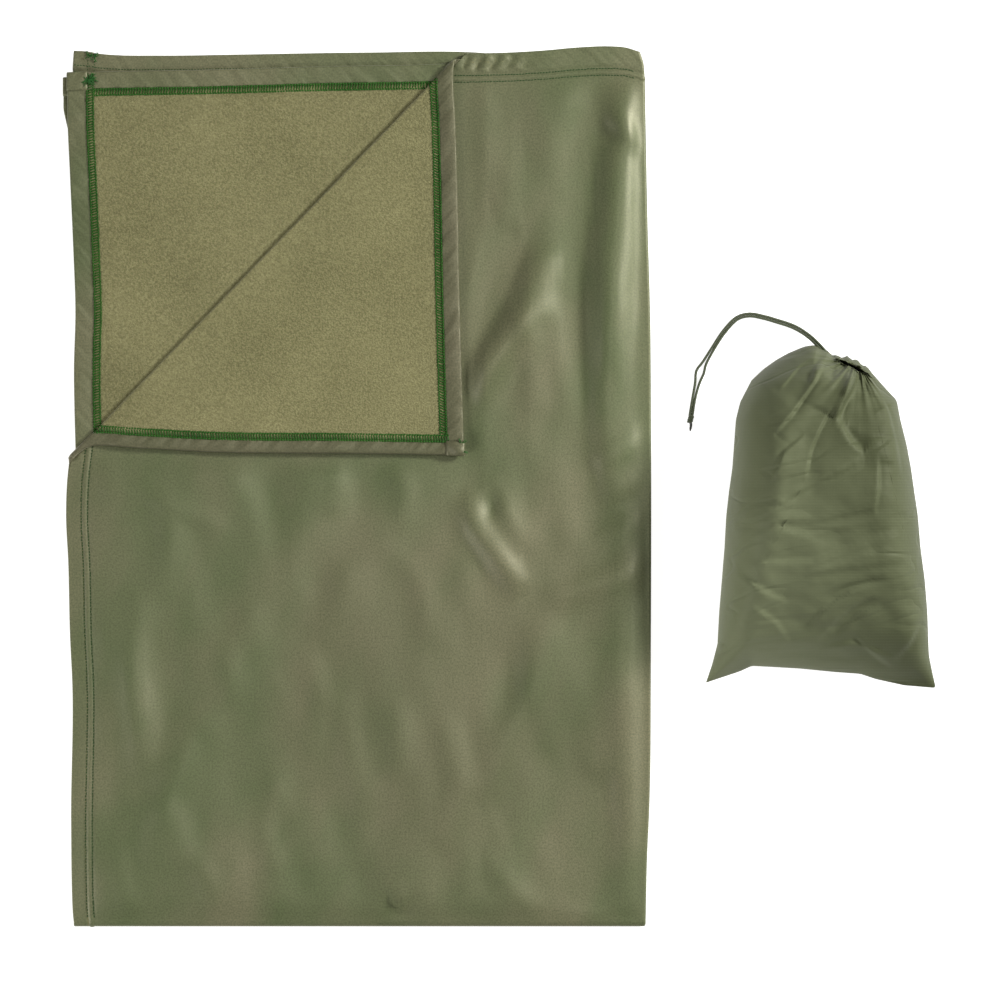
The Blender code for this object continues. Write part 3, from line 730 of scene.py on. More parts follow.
def sack_finish(name):
    """Thin coated nylon with a raised ripstop grid and fine creases, and painted shade that darkens it
    towards its upper right.
    """
    material, start, shader, place = new_finish(name, {
        "Specular IOR Level": 0.14, "Specular Tint": (0.92, 0.92, 0.74, 1)})
    look = bpy.context.scene.camp_blanket
    tone = contrast(start, clouds(start, place, 9.0, 3.0), 0.36, 0.66)
    rightward = start.node("SeparateXYZ", None, {"Vector": place}, output="X")
    upward = start.node("SeparateXYZ", None, {"Vector": place}, output="Y")
    # Painted shade: the sack's colour darkens towards its upper right.
    upper_right_painted_shade = contrast(start, 3.4 * rightward + 1.2 * upward, 1.30, 2.05)
    colour = blended(start, 0.12 * tone + 0.90 * upper_right_painted_shade, look.sack_light, look.sack_dark)
    rows = stripes(start, place, RIPSTOP_PITCH, PI / 2) ** 7.0
    columns = stripes(start, place, RIPSTOP_PITCH, 0.0) ** 9.0
    grid = rows + 0.25 * columns
    fine = start.node("TexNoise", None, {"Vector": place, "Scale": 1100.0, "Detail": 1.0}, output="Fac")
    colour = blended(start, 0.08 * grid, colour, (0.200, 0.215, 0.110))
    colour = blended(start, 0.16 * fine, colour, (0.03, 0.035, 0.016))
    start.fill(shader.inputs["Base Color"], colour)
    start.fill(shader.inputs["Roughness"], 0.56 + 0.08 * fine)
    soft = clouds(start, place, 26.0, 4.0, (0.8, 1.2, 1), (0, 0, 0.3))
    slanting = clouds(start, place, 10.0, 2.0, (0.40, 1.8, 0.6), (0, 0, -0.20))
    line = contrast(start, start.sum("ABSOLUTE", slanting - 0.5), 0.0, 0.035)
    normal = bump(start, soft * 4.0 + line * 2.8 + grid * 0.12, 0.50, 0.6 * MM)
    start.fill(shader.inputs["Normal"], normal)
    return material


def braid_finish(name, light, dark):
    """Braided cord: slanting strands crossing along its run."""
    material, start, shader, place = new_finish(name, {"Specular IOR Level": 0.35, "Sheen Weight": 0.15})
    one = stripes(start, place, BRAID_PITCH, 0.8)
    other = stripes(start, place, BRAID_PITCH, -0.8)
    plait = contrast(start, one + other, 0.6, 1.5)
    start.fill(shader.inputs["Base Color"], blended(start, plait, dark, light))
    start.fill(shader.inputs["Roughness"], 0.62 + 0.15 * plait)
    start.fill(shader.inputs["Normal"], bump(start, plait, 0.6, 0.35 * MM))
    return material


def charred_finish(name):
    """The melted, darkened end of the cord."""
    material, start, shader, place = new_finish(name, {"Specular IOR Level": 0.5})
    spots = clouds(start, place, 500.0, 3.0)
    colour = blended(start, spots, (0.008, 0.008, 0.007), (0.045, 0.042, 0.030))
    start.fill(shader.inputs["Base Color"], colour)
    start.fill(shader.inputs["Roughness"], 0.30 + 0.35 * spots)
    start.fill(shader.inputs["Normal"], bump(start, spots, 0.5, 0.3 * MM))
    return material


# ---------------------------------------------------------------- settings

def colour_setting(name, description, colour):
    """A colour that a user can change."""
    return FloatVectorProperty(name=name, description=description, subtype="COLOR",
                               default=colour, min=0, max=1)


def pitch_setting(name, description, length):
    """A stitch length that a user can change."""
    return FloatProperty(name=name, description=description, unit="LENGTH",
                         default=length, min=1.5 * MM, max=8 * MM)


class BlanketLooks(bpy.types.PropertyGroup):
    """Colours and sizes that a user would change."""
    shell_green: colour_setting("Shell green", "The shell where it looks green", (0.088, 0.110, 0.047))
    shell_khaki: colour_setting("Shell khaki", "The shell where it looks khaki", (0.152, 0.143, 0.080))
    # The colour of the painted shade in the shell's dark patches.
    shell_painted_shade: colour_setting("Shell dark", "The shell in its deep patches", (0.058, 0.066, 0.028))
    fleece_light: colour_setting("Fleece light", "The tips of the fleece", (0.236, 0.218, 0.104))
    fleece_shade: colour_setting("Fleece shade", "The roots of the fleece", (0.086, 0.081, 0.033))
    thread: colour_setting("Thread", "The green overlock thread", (0.007, 0.050, 0.004))
    sack_light: colour_setting("Sack light", "The sack where it is lighter", (0.145, 0.160, 0.090))
    sack_dark: colour_setting("Sack dark", "The sack where it is darker", (0.042, 0.048, 0.022))
    stitch_pitch: pitch_setting("Stitch pitch", "Length of one overlock stitch", 3.1 * MM)
    needle_pitch: pitch_setting("Needle pitch", "Length of one needle stitch", 3.4 * MM)


# ---------------------------------------------------------------- the stage and the cord

SENSOR = 36.0
CAMERA_HEIGHT = 6.0
VIEW_WIDTH = 1.1404
VIEW_CENTRE = (0.1591, -0.0137)
# Lamps: name, place, size across in metres, watts.
LAMPS = (
    ("key", (3.7, 1.6, 1.95), 1.0, 330.0),
    ("sheen", (0.9, 0.4, 3.2), 0.9, 22.0),
    ("fill", (-2.8, -1.7, 1.5), 1.3, 105.0),
)


class STAGE_OT_camp_blanket(bpy.types.Operator):
    """Sets out the floor, the lights and the camera"""
    bl_idname = "camp_blanket.stage"
    bl_label = "Stage"

    def execute(self, context):
        scene = context.scene
        camera = bpy.data.cameras.new("camera")
        camera.sensor_width = SENSOR
        camera.lens = SENSOR * CAMERA_HEIGHT / VIEW_WIDTH
        seen = bpy.data.objects.new("camera", camera)
        seen.location = (*VIEW_CENTRE, CAMERA_HEIGHT)
        scene.collection.objects.link(seen)
        scene.camera = seen
        bm = bmesh.new()
        bmesh.ops.create_circle(bm, cap_ends=True, segments=96, radius=6.0)
        floor = add_object("floor", bm)
        floor.location = (*VIEW_CENTRE, -0.4 * MM)
        material, start, shader, place = new_finish("pale_floor", {
            "Roughness": 0.9, "Specular IOR Level": 0.1,
            "Emission Color": (1.0, 1.0, 0.99, 1), "Emission Strength": 0.80})
        tone = blended(start, clouds(start, place, 1.5), (0.55, 0.55, 0.54), (0.57, 0.57, 0.56))
        start.fill(shader.inputs["Base Color"], tone)
        floor.data.materials.append(material)
        for name, place, size, power in LAMPS:
            lamp = bpy.data.lights.new(name, "AREA")
            lamp.shape = "DISK"
            lamp.size = size
            lamp.energy = power
            light = bpy.data.objects.new(name, lamp)
            light.location = place
            aim = Vector((*VIEW_CENTRE, 0)) - Vector(place)
            light.rotation_euler = aim.to_track_quat("-Z", "Y").to_euler()
            scene.collection.objects.link(light)
        world = bpy.data.worlds.new("studio")
        scene.world = world
        world.use_nodes = True
        sky = world.node_tree.nodes["Background"].inputs
        sky["Color"].default_value = (1.0, 1.0, 0.99, 1)
        sky["Strength"].default_value = 0.21
        scene.view_settings.view_transform = "Standard"
        return {"FINISHED"}


CORD_DIAMETER = 3.0 * MM
CORD_LIFT = 1.6 * MM
CORD_EXIT = (0.5278, 0.1552, 0.0158)
# Points of the doubled cord's middle line, each with half the distance between its two strands.
CORD_ROUTE = (
    (0.5443, 0.1365, 0.0160, 0.0015), (0.5360, 0.1459, 0.0160, 0.0015), (*CORD_EXIT, 0.0015),
    (0.5205, 0.1635, 0.0125, 0.0015), (0.5103, 0.1733, 0.0065, 0.0015),
    (0.4944, 0.1836, CORD_LIFT, 0.0015), (0.4727, 0.1909, CORD_LIFT, 0.0015),
    (0.4579, 0.1950, CORD_LIFT, 0.0015), (0.4434, 0.1973, CORD_LIFT, 0.0015),
    (0.4288, 0.1931, CORD_LIFT, 0.0015), (0.4143, 0.1779, CORD_LIFT, 0.0015),
    (0.4027, 0.1603, CORD_LIFT, 0.0015), (0.3924, 0.1429, CORD_LIFT, 0.0022),
    (0.3872, 0.1320, CORD_LIFT, 0.0045), (0.3840, 0.1195, CORD_LIFT, 0.0024),
    (0.3801, 0.1022, CORD_LIFT, 0.0015), (0.3772, 0.0845, CORD_LIFT, 0.0015),
    (0.3765, 0.0800, 0.0026, 0.0012),
)
CORD_POINTS = 48
KNOT = (0.3762, 0.0783, 0.0045)
KNOT_RADIUS = 4.2 * MM
TIP_RADIUS = 1.6 * MM
TIP_LENGTH = 10.5 * MM


def smooth_route(route, count):
    """Points on one smooth curve through the route's points."""
    route = np.array(route, float)
    padded = np.vstack((2 * route[0] - route[1], route, 2 * route[-1] - route[-2]))
    made = []
    for share in np.linspace(0, len(route) - 1, count):
        k = min(int(share), len(route) - 2)
        t = share - k
        a, b, c, d = padded[k:k + 4]
        made.append(0.5 * (2 * b + (c - a) * t + (2 * a - 5 * b + 4 * c - d) * t * t
                           + (3 * b - a - 3 * c + d) * t ** 3))
    return np.array(made)


def tube_curve(name, points, radius, resolution=3, radii=None):
    """A round tube along points, as one open spline."""
    curve = bpy.data.curves.new(name, "CURVE")
    curve.dimensions = "3D"
    curve.bevel_depth = radius
    curve.bevel_resolution = resolution
    curve.use_fill_caps = True
    spline = curve.splines.new("POLY")
    spline.points.add(len(points) - 1)
    for at, (point, place) in enumerate(zip(spline.points, points)):
        point.co = (*place, 1)
        point.radius = 1 if radii is None else radii[at]
    spline.use_smooth = True
    piece = bpy.data.objects.new(name, curve)
    bpy.context.scene.collection.objects.link(piece)
    return piece


def as_mesh(piece):
    """Replaces a curve by the mesh that it shows, its caps joined on."""
    name = piece.name
    mesh = bpy.data.meshes.new_from_object(piece.evaluated_get(bpy.context.evaluated_depsgraph_get()))
    bpy.data.objects.remove(piece)
    bm = bmesh.new()
    bm.from_mesh(mesh)
    bmesh.ops.remove_doubles(bm, verts=bm.verts, dist=1e-5)
    bmesh.ops.recalc_face_normals(bm, faces=bm.faces)
    bpy.data.meshes.remove(mesh)
    made = add_object(name, bm)
    smooth_faces(made)
    return made


def strand_points(side):
    """The middle line of one strand of the doubled cord, on its side of the route."""
    points = smooth_route(CORD_ROUTE, CORD_POINTS)
    runs = np.gradient(points[:, :2], axis=0)
    lefts = np.stack((-runs[:, 1], runs[:, 0]), axis=1)
    lefts /= np.linalg.norm(lefts, axis=1, keepdims=True)
    return np.column_stack((points[:, :2] + side * lefts * points[:, 3:4], points[:, 2]))


class DRAWCORD_OT_camp_blanket(bpy.types.Operator):
    """Makes the doubled drawcord, its knot and its melted tip"""
    bl_idname = "camp_blanket.drawcord"
    bl_label = "Drawcord"

    def execute(self, context):
        braid = braid_finish("cord_braid", (0.070, 0.082, 0.038), (0.026, 0.034, 0.015))
        knot = self.knot(braid)
        tip = self.tip()
        for label, side in (("a", 1), ("b", -1)):
            points = strand_points(side)
            strand = tube_curve("drawcord_" + label, points, CORD_DIAMETER / 2, 4)
            strand.data.materials.append(braid)
            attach(strand, "drawcord")
            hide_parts("drawcord_strand_" + label)
            length = float(np.linalg.norm(np.diff(points, axis=0), axis=1).sum())
        return {"FINISHED"}

    def knot(self, braid):
        """An overhand knot: the cord wound three times round both strands, pulled tight."""
        share = np.linspace(0, 1, 84)
        turns = 2 * PI * 3.1 * share + 0.8
        size = KNOT_RADIUS - CORD_DIAMETER * 0.62
        swell = 0.75 + 0.35 * np.sin(PI * share)
        x = KNOT[0] + size * swell * np.cos(turns) + 0.5 * MM * np.sin(2 * PI * share)
        y = KNOT[1] + 3.3 * MM * (1 - 2 * share) + 1.1 * MM * np.cos(turns)
        z = KNOT[2] - 0.6 * MM + size * swell * np.sin(turns)
        points = np.stack((x, y, np.maximum(z, CORD_DIAMETER * 0.46)), axis=1)
        knot = as_mesh(tube_curve("drawcord_knot_wound", points, CORD_DIAMETER * 0.45, 3))
        bm = bmesh.new()
        bm.from_mesh(knot.data)
        core = bmesh.ops.create_uvsphere(bm, u_segments=20, v_segments=12, radius=1)["verts"]
        for vert in core:
            vert.co = Vector((KNOT[0] + vert.co.x * 2.4 * MM, KNOT[1] + 0.6 * MM + vert.co.y * 4.6 * MM,
                              KNOT[2] - 0.6 * MM + vert.co.z * 2.4 * MM))
        bm.to_mesh(knot.data)
        bm.free()
        smooth_faces(knot)
        knot.data.materials.append(braid)
        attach(knot, "drawcord")
        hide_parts("drawcord_knot")
        return knot

    def tip(self):
        """Two cut ends fused and charred, thinning to a blunt point."""
        start = np.array((KNOT[0], KNOT[1] - KNOT_RADIUS * 0.7, TIP_RADIUS + 0.4 * MM))
        share = np.linspace(0, 1, 9)
        points = start + np.outer(share, (0.0004, -TIP_LENGTH, -0.2 * MM))
        points[:, 0] += 0.5 * MM * np.sin(share * 5)
        radii = [1.0, 1.05, 0.95, 1.0, 0.85, 0.9, 0.8, 0.65, 0.35]
        tip = as_mesh(tube_curve("drawcord_tip_melted", points, TIP_RADIUS, 3, radii))
        tip.data.materials.append(charred_finish("melted_cord_end"))
        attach(tip, "drawcord")
        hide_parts("drawcord_tip")
        return tip


# Tufts of loose ends: name, body, threads at each root, roots.
TUFTS = (
    ("frayed_ends_upper", "upper_half", 16,
     ((-0.3080, 0.4650, 0.0100), (-0.3115, 0.4640, 0.0100), (-0.3050, 0.4650, 0.0100))),
    ("frayed_ends_lower", "lower_half", 9, ((-0.3085, 0.4925, 0.0062), (-0.3025, 0.4915, 0.0062))),
    ("frayed_ends_corner", "corner_flap", 6, ((0.1155, 0.0500, 0.0205), (0.1155, 0.0425, 0.0205))),
)


class ENDS_OT_camp_blanket(bpy.types.Operator):
    """Leaves tufts of loose thread where the overlock stops at the corners"""
    bl_idname = "camp_blanket.ends"
    bl_label = "Frayed thread ends"

    def execute(self, context):
        look = context.scene.camp_blanket
        green = thread_finish("frayed_overlock", look.thread, (0.030, 0.110, 0.026))
        for name, body, count, roots in TUFTS:
            piece = self.tuft(name, roots, count)
            piece.data.materials.append(green)
            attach(piece, body)
        return {"FINISHED"}

    def tuft(self, name, roots, count):
        """Short bent ends of thread, count of them at each root."""
        chance = np.random.default_rng(len(name) + count)
        share = np.linspace(0, 1, 9)
        whole = bmesh.new()
        for root in [root for root in roots for _ in range(count)]:
            heading = chance.uniform(-PI, PI) + chance.uniform(-1.6, 1.6) * share
            step = chance.uniform(3.5, 8.0) * MM / 8
            steps = step * np.stack((np.cos(heading), np.sin(heading)), axis=1)
            plan = np.array(root[:2]) + np.cumsum(steps, axis=0) - steps[0]
            height = root[2] + chance.uniform(0.2, 1.6) * MM * np.sin(PI * share) + 0.2 * MM
            strand = as_mesh(tube_curve("thread_end", np.column_stack((plan, height)), 0.38 * MM, 1))
            whole.from_mesh(strand.data)
            bpy.data.objects.remove(strand)
        piece = add_object(name, whole)
        smooth_faces(piece)
        return piece


# ---------------------------------------------------------------- the blanket's sheets

def edge_lines(limit, hem, side):
    """Flat lines near an edge and round its hem; side is 1 past the edge, or 0 up to it."""
    near = [limit - v * MM for v in (0.0, 0.9, 2.5, 5, 8, 11, 13.5, 15, 16, 17.2, 19.5, 21.8, 23, 24.2,
                                     26, 28, 30, 31.5, 33, 36, 40)]
    if not side:
        return near
    arc = [limit + RIM * angle for angle in RIM_TURNS]
    back = [limit + PI * RIM + v for v in evenly(1.2 * MM, hem, 2.6 * MM)]
    return near + arc + back


def mirrored(lines):
    """The lines and the same lines below zero."""
    return list(lines) + [-v for v in lines]


def fold_lines():
    """Flat lines across a fold, close where the cloth turns and wider away from it."""
    turn = [PI * PLY / 4 * v for v in (0, 0.25, 0.5, 0.75, 1.0, 1.25, 1.7, 2.4, 3.0)]
    return mirrored(turn + [9 * MM, 11.5 * MM, 14 * MM, 18 * MM, 23 * MM])


class SHEETS_OT_camp_blanket(bpy.types.Operator):
    """Cuts the shell and the fleece, folds them in four and hems them"""
    bl_idname = "camp_blanket.sheets"
    bl_label = "Folded sheets"

    def execute(self, context):
        look = context.scene.camp_blanket
        satin = shell_finish("shell_cloth", look.shell_green, look.shell_khaki, look.shell_painted_shade)
        pile = fleece_finish("fleece_lining", look.fleece_light, look.fleece_shade)
        fold, far_a, far_b = 0.023, HALF_WIDTH - 0.040, HALF_LENGTH - 0.040
        tucked = evenly(0.140, 0.212, 2.9 * MM)       # closer lines under the top hem's tucks
        middle_a = joined(evenly(fold, far_a, 8.8 * MM), tucked, evenly(-far_a, -fold, 17 * MM))
        middle_b = joined(evenly(fold, far_b, 9.4 * MM), evenly(-far_b, -fold, 26 * MM))
        self.shell(satin, middle_a, middle_b)
        self.fleece(pile, middle_a, middle_b)
        return {"FINISHED"}

    def shell(self, satin, middle_a, middle_b):
        """The shell in one piece, turned round all its edges, less the corner past the crease."""
        across = joined(middle_a, fold_lines(), mirrored(edge_lines(HALF_WIDTH, SIDE_HEM, 1)))
        along = joined(middle_b, fold_lines(), mirrored(edge_lines(HALF_LENGTH, END_HEM, 1)))
        bm, keep = flat_grid(across, along)
        plan = lambda a, b: blanket_middle(BLANKET.round_edge(a, 0)[0], BLANKET.round_edge(b, 1)[0])
        cut_along_crease(bm, keep, plan, TAIL, in_top_layer)
        bmesh.ops.reverse_faces(bm, faces=bm.faces)

        def shape(a, b):
            a_in, b_in, off, (side_a, depth_a, side_b, depth_b) = shell_offset(BLANKET, a, b)
            off = off + needle_grooves(depth_a, np.where(b > 0, side_a, 0), SIDE_NEEDLES)
            off = off + needle_grooves(depth_b, np.where((b > 0) & (a > 0), side_b, 0), END_NEEDLES)
            return BLANKET.lay(a_in, b_in, off)

        piece = sheet_object("blanket_shell", bm, keep, BLANKET, shape)
        piece.data.materials.append(satin)
        thicken(piece, SHELL_THICKNESS)
        self.bend_at_bottom(piece)
        layers = ("floor_layer", "third_layer", "second_layer", "top_layer")
        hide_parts("lower_shell", "upper_shell", "bottom_fold_shell", "inner_fold_shell",
                    *[f"{layer}_{edge}_hem" for layer in layers for edge in ("end", "side")])

    def fleece(self, pile, middle_a, middle_b):
        """The fleece in one piece, tucked under the hems, and a little uneven where it is in view."""
        across = joined(middle_a, fold_lines(), mirrored(edge_lines(HALF_WIDTH - FLEECE_TRIM, 0, 0)))
        along = joined(middle_b, fold_lines(), mirrored(edge_lines(HALF_LENGTH - FLEECE_TRIM, 0, 0)))
        bm, keep = flat_grid(across, along)
        cut_along_crease(bm, keep, blanket_middle, TAIL, in_top_layer)

        def shape(a, b):
            off = fleece_offset(HALF_WIDTH - np.abs(a), HALF_LENGTH - np.abs(b), SIDE_HEM, END_HEM)
            seen = (a < -0.02) & (b > 0.02)
            x, y = a + 2.0, b
            soft = 0.35 * soft_noise(x, y, 0.045, 0.06, 41) + 0.25 * soft_noise(x, y, 0.016, 0.02, 42)
            return BLANKET.lay(a, b, off - np.where(seen, (0.25 + soft) * MM, 0))

        piece = sheet_object("blanket_fleece", bm, keep, BLANKET, shape)
        piece.data.materials.append(pile)
        thicken(piece, FLEECE_THICKNESS)
        self.bend_at_bottom(piece)
        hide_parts("lower_lining", "upper_lining", "bottom_fold_lining", "inner_fold_lining")

    def bend_at_bottom(self, piece):
        """Bakes the piece's transform into its mesh."""
        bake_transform(piece)


def fleece_offset(depth_a, depth_b, side_hem, end_hem):
    """Height of the fleece's pile face: pressed thin under the hems, full beyond them."""
    under = np.maximum(smooth_step(side_hem + 5 * MM - depth_a, 0, 7 * MM),
                       smooth_step(end_hem + 5 * MM - depth_b, 0, 7 * MM))
    return -HALF_CLOTH + 0.85 * MM * under


# Lines of vertices over the crease's roll, 1 being where the roll ends and the corner lies flat.
ROLL_LINES = (-1.0, -0.78, -0.56, -0.36, -0.18, 0.0, 0.18, 0.36, 0.56, 0.78, 1.0, 1.8, 3.0)


class FLAP_OT_camp_blanket(bpy.types.Operator):
    """Makes the turned-down corner: shell, fleece and the roll at its crease"""
    bl_idname = "camp_blanket.flap"
    bl_label = "Turned corner"

    def execute(self, context):
        look = context.scene.camp_blanket
        satin = shell_finish("shell_cloth_flap", (0.090, 0.090, 0.047), (0.122, 0.109, 0.066),
                             look.shell_painted_shade)
        # Painted light: the corner's fleece is a lighter copy of the same lining.
        pile = fleece_finish("fleece_lining_flap_lit", [v * 1.04 for v in look.fleece_light],
                             [v * 1.10 for v in look.fleece_shade])
        reach = PI * ROLL / 2 + TAIL
        wide = evenly(0.0, 0.023, 2.0 * MM) + evenly(0.023, FLAP_WIDTH + 0.030, 6.0 * MM)
        high = evenly(0.0, 0.023, 2.0 * MM) + evenly(0.023, FLAP_HEIGHT + 0.030, 6.0 * MM)
        arc = [-RIM * angle for angle in RIM_TURNS]
        hem_a = arc + [-PI * RIM - v for v in evenly(1.2 * MM, FLAP_SIDE_HEM, 2.2 * MM)]
        hem_b = arc + [-PI * RIM - v for v in evenly(1.2 * MM, FLAP_END_HEM, 2.2 * MM)]

        bm, keep = flat_grid(joined(wide, hem_a), joined(high, hem_b))
        plan = lambda a, b: flap_plan(FLAP.round_edge(a, 0)[0], FLAP.round_edge(b, 1)[0])
        self.finer_roll(bm, keep, plan, reach)

        def shell_shape(a, b):
            a_in, b_in, off, _ = shell_offset(FLAP, a, b)
            return FLAP.lay(a_in, b_in, off)

        shell = sheet_object("corner_shell", bm, keep, FLAP, shell_shape)
        shell.data.materials.append(satin)
        thicken(shell, SHELL_THICKNESS)

        wide, high = ([FLEECE_TRIM + v for v in lines] for lines in (wide, high))
        bm, keep = flat_grid(joined(wide), joined(high))
        self.finer_roll(bm, keep, flap_plan, reach)
        bmesh.ops.reverse_faces(bm, faces=bm.faces)

        def fleece_shape(a, b):
            off = fleece_offset(a, b, FLAP_SIDE_HEM, FLAP_END_HEM)
            soft = 0.3 * soft_noise(a, b, 0.035, 0.05, 51) + 0.2 * soft_noise(a, b, 0.014, 0.018, 52)
            return FLAP.lay(a, b, off - (0.15 + soft) * MM * smooth_step(a + b, 0.02, 0.06))

        fleece = sheet_object("corner_fleece", bm, keep, FLAP, fleece_shape)
        fleece.data.materials.append(pile)
        thicken(fleece, FLEECE_THICKNESS)

        # A point a little above the crease's roll, leaning into the corner, is worked out here; nothing
        # reads it.
        middle = CREASE_LEFT + CREASE_RUN * 0.3
        lean = 0.04 * HINGE_HALF * INTO_FLAP
        high = (*(middle + lean), ROLL_AXIS_Z + HINGE_HALF)
        crease_length = math.hypot(FLAP_WIDTH, FLAP_HEIGHT)
        for piece, nodes, slot, hems in (
                (shell, ("flap_shell", "corner_fold_shell", "flap_end_hem", "flap_side_hem"),
                 "shell_cloth", (FLAP_SIDE_HEM, FLAP_END_HEM)),
                (fleece, ("flap_lining", "corner_fold_lining"), "fleece_lining", (0, 0))):
            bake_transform(piece)
            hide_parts(*nodes)
            width = FLAP_WIDTH + hems[0]
            length = FLAP_HEIGHT + hems[1]
            area = CORNER_AREA + crease_length * reach + hems[0] * FLAP_HEIGHT + hems[1] * FLAP_WIDTH
            min(area, width * length)
        return {"FINISHED"}

    def finer_roll(self, bm, keep, plan_of, reach):
        """Cuts the sheet to its tail, with extra lines where it rolls over at the crease."""
        cut_along_crease(bm, keep, plan_of, -reach)
        for share in ROLL_LINES:
            point = CREASE_LEFT + INTO_FLAP * share * PI * ROLL / 2
            bmesh.ops.bisect_plane(bm, geom=bm.verts[:] + bm.edges[:] + bm.faces[:], dist=1e-7,
                                   plane_co=(*point, 0), plane_no=(*INTO_FLAP, 0))


# ---------------------------------------------------------------- thread

class Run:
    """A straight run of sewing on the flat cloth, parallel to an edge."""

    def __init__(self, cloth, origin, step, inward, length):
        self.cloth = cloth
        self.origin = np.array(origin, float)
        self.step = np.array(step, float)
        self.inward = np.array(inward, float)
        self.length = length

    def flat(self, forward, deep):
        """Flat places at distances along the run and in from the edge."""
        return self.origin + np.multiply.outer(forward, self.step) + np.multiply.outer(deep, self.inward)


def blanket_runs(half, short=0.0):
    """The hem runs of the lower or upper half; the end runs stop short of the side edges."""
    up = 1 if half == "upper_half" else -1
    gap = 0.012
    runs = []
    for side in (1, -1):
        runs.append(("side", Run(BLANKET, (side * HALF_WIDTH, up * gap), (0, up), (-side, 0),
                                 HALF_LENGTH - gap - 1.5 * MM)))
        runs.append(("end", Run(BLANKET, (side * gap, up * HALF_LENGTH), (side, 0), (0, -up),
                                HALF_WIDTH - gap - short)))
    return runs


def flap_runs(late=0.0):
    """The hem runs of the turned corner; the side run starts late, past the other hem."""
    return [("side", Run(FLAP, (0, late), (0, 1), (1, 0), FLAP_HEIGHT - late)),
            ("end", Run(FLAP, (2.5 * MM, 0), (1, 0), (0, 1), FLAP_WIDTH))]


def kept_places(run, forward, deep):
    """Which stitches exist: the cloth past the turned corner's crease is cut away from each side."""
    flat = run.flat(forward, np.full(len(forward), deep))
    place = run.cloth.middle(flat[:, 0], flat[:, 1])
    if run.cloth is FLAP:
        inward = (flap_plan(flat[:, 0], flat[:, 1]) - CREASE_LEFT) @ INTO_FLAP
        return inward > 0.5 * MM
    on_top = (flat[:, 0] > 0) & (flat[:, 1] > 0)
    inward = (place[:, :2] - CREASE_LEFT) @ INTO_FLAP
    return ~on_top | (inward > TAIL + 1 * MM)


def thread_template(parts):
    """A small mesh of arched thread pieces: each part is (from, to, width, height, cuts)."""
    whole = bmesh.new()
    for start, end, width, height, cuts in parts:
        start, end = Vector(start), Vector(end)
        bm = bmesh.new()
        bmesh.ops.create_cube(bm, size=1)
        lengthwise = [e for e in bm.edges if abs(e.verts[0].co.x - e.verts[1].co.x) > 0.5]
        bmesh.ops.subdivide_edges(bm, edges=lengthwise, cuts=cuts)
        run = end - start
        side = Vector((-run.y, run.x, 0)).normalized()
        for vert in bm.verts:
            share = vert.co.x + 0.5
            arch = 1 - (2 * share - 1) ** 2
            narrow = 0.55 + 0.45 * min(1.0, 3 * arch)
            place = start + run * share + side * vert.co.y * width * narrow
            place.z += (vert.co.z + 0.5) * height * narrow + arch * height * 0.8
            vert.co = place
        part = bpy.data.meshes.new("thread_part")
        bm.to_mesh(part)
        bm.free()
        whole.from_mesh(part)
        bpy.data.meshes.remove(part)
    mesh = bpy.data.meshes.new("template")
    whole.to_mesh(mesh)
    whole.free()
    return mesh


def sew(name, template, jobs, pitch, seed, finish):
    """Repeats a template along the runs; a job is (run, depth in from the edge, height, side)."""
    chance = np.random.default_rng(seed)
    pattern = places_of(template)
    placed = []
    for run, deep, height, side in jobs:
        forward = np.arange(pitch * 0.5, run.length, pitch)
        forward = forward + chance.uniform(-0.08, 0.08, len(forward)) * pitch
        forward = forward[kept_places(run, forward, deep)]
        if not len(forward):
            continue
        wander = chance.uniform(-0.25, 0.25, len(forward)) * MM
        along = forward[:, None] + pattern[None, :, 0]
        inward = deep + wander[:, None] + pattern[None, :, 1]
        flat = run.flat(along.ravel(), inward.ravel())
        lift = height + np.tile(pattern[:, 2], len(forward)) * chance.uniform(0.8, 1.15, 1)
        placed.append(run.cloth.lay(flat[:, 0], flat[:, 1], side * lift))
    bm = bmesh.new()
    for _ in range(sum(len(p) for p in placed) // len(pattern)):
        bm.from_mesh(template)
    piece = add_object(name, bm)
    put(piece.data, np.concatenate(placed))
    face_outwards(piece)
    smooth_faces(piece)
    piece.data.materials.append(finish)
    return piece


def overlock_jobs(runs, side_hem, end_hem, height):
    """Sewing jobs for the overlock, on the turned side of each hem."""
    return [(run, (side_hem if edge == "side" else end_hem) - OVERLOCK_INSET, height, -1)
            for edge, run in runs]


def needle_jobs(runs, side_needles, end_needles, height):
    """Sewing jobs for the twin needle lines, on the shell's outer side."""
    return [(run, deep, height, 1) for edge, run in runs
            for deep in (side_needles if edge == "side" else end_needles)]


